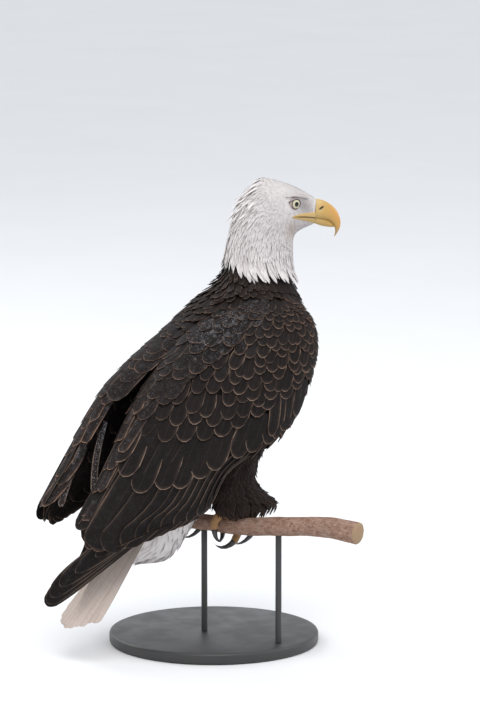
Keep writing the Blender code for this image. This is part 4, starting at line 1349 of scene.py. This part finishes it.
def neck_hackles():
    """Long narrow feathers that run down the neck, and the pointed locks that they end in."""
    def run_at(u, v):
        return np.linalg.norm(BODY_SURFACE.frame_at(u, v)[2], axis=-1)

    coat = Coat("neck_hackles", "head_feathers", WHITE, False)
    u, v, point = scatter(BODY_SURFACE, (8.2, 11.3), ROUND, lambda u, v: head_length(u) * 0.160, 12)
    size = head_length(u) * even(u, 0.8, 1.15)
    stay = u + size / run_at(u, v) < white_hem(v) + 0.12 * lump(point, 60, 8)
    u, v, point, size = u[stay], v[stay], point[stay], size[stay]
    lean = 0.12 * lump(point, 42, 2) + bell(u, 0.055)
    streaked = even(u) < 0.055 * ease(np.cos(v), -0.25, 0.4)
    coat.add(followed(BODY_SURFACE, u, v, size, leaning(flow, lean), 6), size * even(u, 0.12, 0.17),
             lift=(-0.0032, 0.0001 + 0.0004 * even(u) ** 2), camber=0.09, thick=0.0004, across=3, along=6,
             blunt=2.0, waist=0.5, ragged=0.03, curl=0.02 * even(u), widest=0.35, tip_width=0.15,
             tone=np.clip(0.60 + 0.16 * lump(point, 45, 22) + bell(u, 0.07), 0, 1),
             frost=np.where(streaked, 0.38, 0.05 * np.clip(lump(point, 60, 4) + 0.1, 0, 1)), home=unwrapped(u, v))
    number = np.arange(LOCKS)
    middle = -np.pi + 2 * np.pi * (number + 0.5 + even(number, -0.3, 0.3)) / LOCKS
    middle = np.repeat(middle, LOCK_FEATHERS)
    reach = np.repeat(even(number, -0.45, 0.60), LOCK_FEATHERS)
    aside = np.tile(np.linspace(-1, 1, LOCK_FEATHERS), LOCKS) + bell(middle, 0.12)
    v = middle + aside * 0.072
    u = white_hem(middle) + (0.008 * reach - 0.0095 * np.abs(aside) ** 1.4) / run_at(middle * 0 + 11.3, middle)
    size = even(u, 0.026, 0.038)
    coat.add(backed(BODY_SURFACE, u, v, size, leaning(flow, -0.16 * aside), 7), size * even(u, 0.13, 0.18),
             lift=(-0.0030, 0.0010 + 0.0016 * even(u)), camber=0.16, thick=0.0005, across=3, along=6, blunt=2.4,
             waist=0.6, ragged=0.02, widest=0.35, tip_width=0.08, tone=0.4 + 0.5 * even(u), home=unwrapped(u, v))
    coat.build()


COVER_REACH = 0.015  # a wing's face nearer than this covers the body's feathers


def open_to_air(u, v, point):
    """True where no wing lies over the body."""
    place, angle = np.meshgrid(np.linspace(0.2, 8.6, 70), np.linspace(0.22, 2.95, 50), indexing="ij")
    tree = search_tree(np.concatenate([WING_SURFACE[sign].point(place.ravel(), angle.ravel())
                                       for sign in (-1, 1)]))
    _, normal, _, _ = BODY_SURFACE.frame_at(u, v)
    away = np.array([tree.find(p)[0] for p in point]) - point
    covered = ((away * normal).sum(1) > 0.0) & (np.linalg.norm(away, axis=1) < COVER_REACH)
    return ~covered | (np.abs(v) < 0.45)


def body_plumage():
    def length(u, v):
        back = np.interp(u, (10, 11.5, 13, 16, 20), (0.024, 0.028, 0.038, 0.055, 0.055))
        front = np.interp(u, (10, 12, 15, 21), (0.024, 0.032, 0.044, 0.050))
        share = (1 - np.cos(v)) / 2
        return back * (1 - share) + front * share

    u, v, point = scatter(BODY_SURFACE, (10.35, 19.5), ROUND, lambda u, v: length(u, v) * 0.235, 13,
                          lambda u, v, point: open_to_air(u, v, point) & (u > white_hem(v) - 0.55))
    size = length(u, v) * even(u, 0.88, 1.12)
    nape = np.clip(np.cos(v), 0, 1) * (1 - ease(u, 11.8, 13.0))
    lean = 0.16 * lump(point, 30, 5) + bell(u, 0.08)
    chest = ease(-np.cos(v), 0.0, 0.6)
    collar = 1 - ease(u, 10.8, 12.2)
    belly = ease(u, 15.5, 17.0) * (1 - ease(u, 18.6, 19.6)) * chest
    coat = Coat("body_plumage", "body_feathers", DARK, True)
    coat.add(followed(BODY_SURFACE, u, v, size * (1 + 0.25 * belly), leaning(flow, lean), 8),
             size * (0.46 - 0.16 * nape - 0.10 * collar) * even(u, 0.88, 1.1), curl=belly * even(u, 0.15, 0.42),
             lift=(-0.0065, 0.0010 - 0.0004 * collar + 0.0020 * even(u) * (1 - collar) * (0.35 + nape)),
             camber=0.18, thick=0.0006, across=5, along=7, blunt=1.35, waist=0.5, ragged=0.04, widest=0.6,
             fringe=(0.40 - 0.14 * chest) * (1 - 0.65 * collar) * even(u, 0.35, 1.15), rust=0.6,
             frost=0.22 * nape, tone=even(u) * 0.75)
    coat.build()


# lines of feather tips on the wing, from the inner edge to the leading edge: place, degrees
GREATER_TIPS = ((6.20, 8), (6.62, 24), (6.78, 42), (6.90, 60), (6.72, 78), (6.46, 91), (6.24, 101), (5.88, 110),
                (5.62, 117), (5.36, 123), (5.05, 131), (4.60, 141), (4.15, 152))
MEDIAN_TIPS = ((5.30, 8), (5.52, 22), (5.66, 36), (5.66, 58), (5.42, 76), (5.14, 86), (4.86, 93), (4.52, 102),
               (4.26, 109), (3.98, 116), (3.74, 124), (3.46, 137), (3.15, 155))
TOP_TIPS = ((1.35, 8), (1.30, 22), (1.25, 36), (1.15, 58), (1.00, 76), (0.86, 86), (0.78, 93), (0.68, 102),
            (0.60, 109), (0.52, 116), (0.46, 124), (0.40, 140), (0.36, 162))
COVERT_ROWS = 12
# narrow feathers that hang past the coverts: root and tip as place and degrees, then width
EDGE_FEATHERS = ((3.5, 104, 4.9, 128, 0.020), (3.6, 112, 4.95, 136, 0.019), (3.5, 120, 4.85, 143, 0.018),
                 (3.3, 128, 4.6, 150, 0.017))


def along_line(sign, line, gap, offset=0.0):
    """Places every so far along a line of (place, degrees) on a wing."""
    t = np.linspace(0, 1, 400)
    row = mix(line, t * (len(line) - 1))
    u, v = row[:, 0], np.radians(row[:, 1])
    point = WING_SURFACE[sign].point(u, v)
    run = np.concatenate([[0], np.cumsum(np.linalg.norm(np.diff(point, axis=0), axis=1))])
    count = max(2, int(run[-1] / gap))
    at = (np.arange(count) + 0.5 + offset) * run[-1] / count
    return np.interp(at, run, u), np.interp(at, run, v)


def wing_coverts(sign, side):
    surface = WING_SURFACE[sign]
    coat = Coat(f"wing_{side}_coverts", "body_feathers", DARK, True)
    for row in range(COVERT_ROWS + 1):
        share = 1 - (1 - row / COVERT_ROWS) ** 1.22
        line = np.array(MEDIAN_TIPS) * (1 - share) + np.array(TOP_TIPS) * share
        width = np.interp(row, (0, 1, 4, COVERT_ROWS), (0.032, 0.0285, 0.0235, 0.0150))
        u, v = along_line(sign, line, width * 0.90, 0.5 * (row % 2) - 0.25)
        u = u + bell(u, 0.07)
        v = v + bell(v, 0.02)
        size = width * np.interp(row, (0, 1, COVERT_ROWS), (1.95, 1.9, 1.75)) * even(u, 0.94, 1.06)
        lean = 0.10 * lump(surface.point(u, v), 25, 31) + bell(u, 0.05)
        front = ease(v, 1.2, 2.2)
        inner = 1 - ease(v, 0.5, 1.15)
        frost = np.exp(-((u - 2.1) / 1.3) ** 2 - ((v - 0.62) / 0.42) ** 2) if sign < 0 else 0.25 * inner
        coat.add(backed(surface, u, v, size, leaning(hanging(0.46), lean)), width * even(u, 0.94, 1.06),
                 lift=(-0.0040, 0.0012), camber=0.15, thick=0.0006, across=7, along=9, blunt=1.85, waist=0.6,
                 ragged=0.012, roll=-0.07 * sign, rust=np.clip(0.25 + 0.75 * share * front, 0, 1),
                 fringe=(0.92 - 0.55 * inner) * (1 - 0.35 * share * (1 - front)) * even(u, 0.35, 1.0),
                 frost=np.maximum(frost * even(u, 0.1, 1.5), 0.02), tone=even(u) * (0.6 + 0.3 * front), curl=-0.02)
    u, v = along_line(sign, GREATER_TIPS, 0.0300)
    size = np.interp(v, (0, 1.2, 2.6), (0.085, 0.080, 0.060))
    coat.add(backed(surface, u + bell(u, 0.06), v, size, leaning(hanging(0.40), bell(u, 0.04))),
             np.interp(v, (0, 1.2, 2.6), (0.037, 0.037, 0.031)), lift=(-0.0028, 0.0026), camber=0.14,
             thick=0.0007, across=7, along=11, blunt=1.6, waist=0.65, ragged=0.008, roll=-0.09 * sign, rust=0.2,
             frost=0.03, fringe=even(u, 0.50, 0.85), tone=even(u) * 0.45)
    # small feathers that wrap the leading edge
    for row, tip in enumerate(np.linspace(0.75, 5.6, 17)):
        width = np.interp(tip, (0.7, 5.6), (0.015, 0.022))
        v = np.radians(np.arange(152.0 + 4 * (row % 2), 186, 8.5))
        u = tip + bell(v, 0.06)
        size = np.full(len(v), width * 1.9)
        coat.add(backed(surface, u, v, size, leaning(hanging(0.30), bell(v, 0.06))), width,
                 lift=(-0.0050, 0.0010 + 0.0010 * even(v)), camber=0.20, thick=0.0006, across=5, along=8, blunt=1.5,
                 waist=0.6, ragged=0.02, rust=0.9, fringe=even(v, 0.3, 0.7), tone=even(v))
    table = np.array(EDGE_FEATHERS)
    line = ruled(surface, (table[:, 0], np.radians(table[:, 1])), (table[:, 2], np.radians(table[:, 3])))
    coat.add(line, table[:, 4], lift=(-0.0020, 0.0022), camber=0.12, thick=0.0007, across=7, along=12, blunt=1.9,
             waist=0.7, ragged=0.006, roll=-0.08 * sign, rust=0.35, fringe=0.55, frost=0.05, tone=0.2)
    coat.build()


SCAPULAR_TIPS = (5.35, 4.95, 4.55, 4.15, 3.75, 3.35, 2.98, 2.62, 2.28, 1.96, 1.66, 1.38)


def scapulars(sign, side):
    """Large long feathers that lie over the wing's inner edge in shallow overlaps."""
    surface = WING_SURFACE[sign]
    coat = Coat(f"wing_{side}_scapulars", "body_feathers", DARK, True)
    for row, tip in enumerate(SCAPULAR_TIPS):
        size = np.interp(tip, (1.3, 3.0, 5.4), (0.036, 0.066, 0.098))
        width = np.interp(tip, (1.3, 3.0, 5.4), (0.018, 0.028, 0.033))
        degrees = np.arange(-24.0 + 7 * (row % 2), np.interp(tip, (1.3, 3.5, 5.4), (54, 48, 26)), 14.5)
        u = tip + 0.012 * (20 - np.abs(degrees - 14)) * 0.35 + bell(degrees, 0.12)
        v = np.radians(degrees + bell(degrees, 1.5))
        frost = 0.70 * np.exp(-((u - 2.3) / 1.2) ** 2 - ((v - 0.40) / 0.55) ** 2) if sign < 0 else 0.15
        grey = ease(u, 3.4, 4.6)
        coat.add(backed(surface, u, v, size * even(u, 0.92, 1.1),
                        leaning(hanging(0.14), 0.10 * lump(surface.point(u, v), 30, 35) + bell(u, 0.04))),
                 width * even(u, 0.92, 1.08), lift=(-0.0020, 0.0022), camber=0.18, thick=0.0008, across=7,
                 along=11, blunt=1.6, waist=0.6, ragged=0.02, rust=0.45, fringe=even(u, 0.20, 0.5),
                 frost=np.maximum(frost, 0.15), roll=-0.03 * sign, tone=0.15 + 0.5 * even(u) + 0.3 * grey)
    coat.build()


def lining(sign):
    """The inner face of a folded wing, which looks at the trunk."""
    def surface(place, angle):
        point, normal, _, _ = WING_SURFACE[sign].frame_at(place, angle)
        depth = np.interp(place, (0, 6.0, 7.2, 9.0), (0.0185, 0.0185, 0.0100, 0.0060))
        return point - normal * depth[..., None]
    return surface


# two narrow grey feathers that hang edge-on between the wings: tops, feet and the way they face
QUILL_TOPS = np.array(((-0.197, 0.020, 0.372), (-0.186, 0.012, 0.368)))[:, None]
QUILL_FEET = np.array(((-0.262, 0.020, 0.240), (-0.208, 0.010, 0.258)))[:, None]
QUILL_FACE = unit(np.array((-0.55, -0.83, 0.10)))


def wing_linings(sign, side):
    """Long loose feathers on a wing's inner face and edge, which fill the gap between the folded wings."""
    surface = Surface(lining(sign), WING_LIMITS, -sign)
    coat = Coat(f"wing_{side}_lining", "body_feathers", DARK, True)
    for row, tip in enumerate((8.45, 7.7, 6.9, 6.1, 5.3, 4.5, 3.7, 3.0, 2.3, 1.6)):
        degrees = np.arange((4.0 if tip > 3.5 else 102.0) + 7 * (row % 2), 172, 14.0)
        u = np.minimum(tip + bell(degrees, 0.14), 8.7)
        v = np.radians(degrees)
        size = np.interp(tip, (1.6, 3.7, 8.5), (0.045, 0.075, 0.135)) * even(u, 0.9, 1.1)
        coat.add(backed(surface, u, v, size, leaning(hanging(0.0), bell(u, 0.05)), 12),
                 even(u, 0.022, 0.030), lift=(-0.001, 0.0025 + 0.002 * even(u)), camber=0.20,
                 thick=0.0008, across=7, along=13, blunt=1.4, waist=0.65, ragged=0.02, rust=0.30,
                 fringe=even(u, 0.4, 0.8), frost=0.08, tone=0.45 + 0.55 * even(u))
    # over the inner edge, narrow and ragged, turned a little to the side
    for row, tip in enumerate((7.9, 7.3, 6.7, 6.1, 5.5)):
        v = np.radians(np.array((-16.0, -4.0, 8.0)) + 4 * (row % 2))
        u = tip + bell(v, 0.15)
        coat.add(backed(WING_SURFACE[sign], u, v, np.full(3, 0.085) * even(u, 0.85, 1.1),
                        leaning(hanging(0.05), bell(u, 0.07))),
                 even(u, 0.016, 0.024), lift=(-0.001, 0.0015 + 0.003 * even(u)), camber=0.26, thick=0.0008,
                 across=7, along=12, blunt=1.5, waist=0.6, ragged=0.05, rust=0.65, fringe=even(u, 0.6, 1.0),
                 frost=0.2, tone=0.6 + 0.4 * even(u))
    if sign > 0:
        t = np.linspace(0, 1, 12)[None, :, None]
        lines = QUILL_TOPS * (1 - t) + QUILL_FEET * t + np.array((-0.006, 0, 0)) * np.sin(np.pi * t)
        coat.add((lines, np.broadcast_to(QUILL_FACE, lines.shape)), 0.0105, lift=(0.0, 0.0), camber=0.3,
                 thick=0.0010, across=7, along=14, blunt=1.5, waist=0.7, ragged=0.03, fringe=0.8, frost=1.0,
                 tone=1.0, rust=0.0)
    coat.build()


# big feathers of the folded wing, innermost and uppermost first: root and tip as place and degrees, then width
SECONDARIES = (
    (4.95, 10, 8.05, 2, 0.031), (4.90, 37, 8.50, 50, 0.045), (4.90, 54, 8.46, 77, 0.043),
    (4.85, 69, 8.24, 99, 0.040), (4.75, 81, 8.00, 107.5, 0.038), (4.65, 91, 7.78, 112, 0.037),
    (4.55, 99, 7.56, 117, 0.036), (4.45, 106, 7.38, 124, 0.035), (4.35, 113, 7.20, 132, 0.034),
    (4.25, 120, 7.02, 140, 0.033), (4.15, 127, 6.83, 149, 0.031), (4.05, 134, 6.62, 158, 0.029))
# the blade of the folded wing's tip, longest first: tip's place, width, and the share across of root and tip
PRIMARY_VANES = (
    (4.93, 0.036, -0.25, 0.0), (4.60, 0.037, -0.05, 0.15), (4.10, 0.037, 0.10, 0.45),
    (3.45, 0.034, 0.25, 0.50), (2.75, 0.031, 0.35, 0.45), (2.05, 0.028, 0.45, 0.45))


def secondaries(sign, side):
    coat = Coat(f"wing_{side}_secondary_vanes", "body_feathers", DARK, True)
    table = np.array(SECONDARIES)
    tip = np.minimum(table[:, 2], 8.62 if sign > 0 else 8.9)
    line = ruled(WING_SURFACE[sign], (table[:, 0], np.radians(table[:, 1])), (tip, np.radians(table[:, 3])), 0.02)
    depth = 0.0012 - 0.0068 * np.linspace(0, 1, len(table))
    coat.add(line, table[:, 4], lift=(depth - 0.0028, depth), camber=0.10, thick=0.0008, across=9, along=20,
             blunt=1.25, waist=0.7, ragged=0.004, roll=0.11 * sign, rust=0.15, fringe=even(table, 0.22, 0.45),
             frost=0.05, tone=even(table) * 0.35)
    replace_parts(coat.build(), f"wing_{side}_secondaries")


def primary_vanes(sign, side):
    """The broad blade of the folded wing's tip: nested feathers, each shorter one over the longer."""
    coat = Coat(f"wing_{side}_primary_vanes", "body_feathers", DARK, True)
    tip, width, root, end = np.array(PRIMARY_VANES).T
    line = ruled(BLADE_SURFACE[sign], (np.zeros(len(tip)), root), (tip, end), 0.0, 14)
    depth = np.linspace(-0.0014, 0.0036, len(tip))
    coat.add(line, width, lift=(depth, depth), camber=0.10, thick=0.0008, across=9, along=22, blunt=1.7,
             waist=0.85, ragged=0.003, rust=0.0, fringe=0.38, tone=even(tip) * 0.12, frost=0.07, widest=0.55,
             tip_width=0.45)
    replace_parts(coat.build(), f"wing_{side}_primaries")


def tail_vanes():
    coat = Coat("tail_vanes", "tail_feathers", WHITE, True)
    place = (np.arange(RECTRICES) + 0.5) / RECTRICES * 2 - 1
    line = ruled(TAIL_SURFACE, (np.full(RECTRICES, 0.02), place * 0.8),
                 (np.full(RECTRICES, 0.995) - 0.03 * even(place), place), 0.0, 16)
    height = -0.0022 + 0.0040 * (1 - np.abs(place))
    coat.add(line, 0.0250, lift=(height * 0.4, height), camber=0.10, thick=0.0009, across=9, along=22, blunt=0.75,
             waist=0.55, ragged=0.008, rust=1.0, tone=0.3 + 0.5 * even(place), frost=0.04, widest=0.7,
             tip_width=0.75)
    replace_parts(coat.build(), "tail")


def tail_covert_plumage():
    coat = Coat("tail_covert_plumage", "head_feathers", WHITE, True)
    u, v, point = scatter(BODY_SURFACE, (20.0, 23.7), ROUND, lambda u, v: 0 * u + 0.0105, 17)
    lean = 0.18 * lump(point, 35, 9) + bell(u, 0.10)
    size = np.interp(u, (20, 22, 24), (0.045, 0.055, 0.036)) * even(u, 0.85, 1.15)
    coat.add(followed(BODY_SURFACE, u, v, size, leaning(flow, lean), 8), size * even(u, 0.30, 0.40),
             lift=(-0.005, 0.0004 + 0.0020 * even(u) ** 2), camber=0.10, thick=0.0005, across=5, along=8,
             # tone kept high: white feathers, with painted light standing for light thrown up from below
             blunt=1.7, waist=0.5, ragged=0.11, widest=0.5, tip_width=0.30, tone=0.85 + 0.15 * even(u))
    coat.build()


def trousers():
    coat = Coat("leg_plumage", "body_feathers", DARK, True)
    for sign in (-1, 1):
        surface = THIGH_SURFACE[sign]
        u, v, point = scatter(surface, (0.1, 5.6), ROUND, lambda u, v: 0 * u + 0.0075, 20 + sign)
        size = np.interp(u, (0, 3, 4.6, 5.6), (0.042, 0.033, 0.024, 0.013)) * even(u, 0.8, 1.15)
        lean = 0.28 * lump(point, 60, 6) + bell(u, 0.16)
        coat.add(followed(surface, u, v, size, leaning(flow, lean), 6), size * even(u, 0.24, 0.38),
                 lift=(-0.004, 0.001 + 0.003 * even(u)), camber=0.35, thick=0.0006, across=5, along=6,
                 blunt=1.3, waist=0.45, ragged=0.09, widest=0.45, tip_width=0.3, fringe=0.16, rust=0.6,
                 tone=0.2 + 0.7 * even(u))
    coat.build()


def plumage():
    head_plumage()
    neck_hackles()
    body_plumage()
    for sign, side in SIDES:
        for dress in (wing_coverts, scapulars, wing_linings, secondaries, primary_vanes):
            dress(sign, side)
    tail_vanes()
    tail_covert_plumage()
    trousers()


# ---------------------------------------------------------------- studio

CAMERA_TURN, CAMERA_RISE, CAMERA_AWAY = math.radians(-30), math.radians(10), 7.0
VIEW_HEIGHT = 1.125  # metres across the picture's height at the bird
SENSOR = 36.0
AIM = (0.04125, 0.44328, 0.08)  # right, up and back from the stand's foot
FLOOR_HALF = 60
LIGHT_AIM = Vector((0, 0, 0.45))


def camera():
    right = Vector((math.cos(CAMERA_TURN), math.sin(CAMERA_TURN), 0))
    back = Vector((math.sin(CAMERA_TURN) * math.cos(CAMERA_RISE), -math.cos(CAMERA_TURN) * math.cos(CAMERA_RISE),
                   math.sin(CAMERA_RISE)))
    lens = bpy.data.cameras.new("camera")
    lens.sensor_width, lens.lens = SENSOR, CAMERA_AWAY * SENSOR / VIEW_HEIGHT
    made = bpy.data.objects.new("camera", lens)
    made.location = right * AIM[0] + back.cross(right) * AIM[1] + back * (AIM[2] + CAMERA_AWAY)
    made.rotation_euler = back.to_track_quat("Z", "Y").to_euler()
    bpy.context.scene.collection.objects.link(made)
    bpy.context.scene.camera = made


def area_light(name, place, size, power, colour=(1, 1, 1)):
    light = bpy.data.lights.new(name, "AREA")
    light.shape, light.size, light.energy, light.color = "DISK", size, power, colour
    made = bpy.data.objects.new(name, light)
    made.location = place
    made.rotation_euler = (Vector(place) - LIGHT_AIM).to_track_quat("Z", "Y").to_euler()
    bpy.context.scene.collection.objects.link(made)


def studio():
    corners = [(x * FLOOR_HALF, y * FLOOR_HALF, 0) for x, y in ((-1, -1), (1, -1), (1, 1), (-1, 1))]
    mesh_object("floor", corners, [(0, 1, 2, 3)], FLOOR, False)
    area_light("key", (-0.9, -1.6, 4.0), 3.0, 84, (1.0, 0.985, 0.97))
    area_light("fill", (3.0, -1.8, 2.2), 2.8, 34, (0.94, 0.97, 1.0))
    area_light("back", (-1.0, 3.2, 2.6), 2.2, 45)
    world = bpy.data.worlds.new("studio")
    world.use_nodes = True
    sky = world.node_tree.nodes["Background"]
    sky.inputs[0].default_value = (0.90, 0.93, 0.97, 1)
    sky.inputs[1].default_value = 0.95
    bpy.context.scene.world = world
    bpy.context.scene.view_settings.view_transform = "Standard"


for make in (camera, skin, bill, gape, eyes, lids, feet, perch, stand, plumage, studio):
    make()
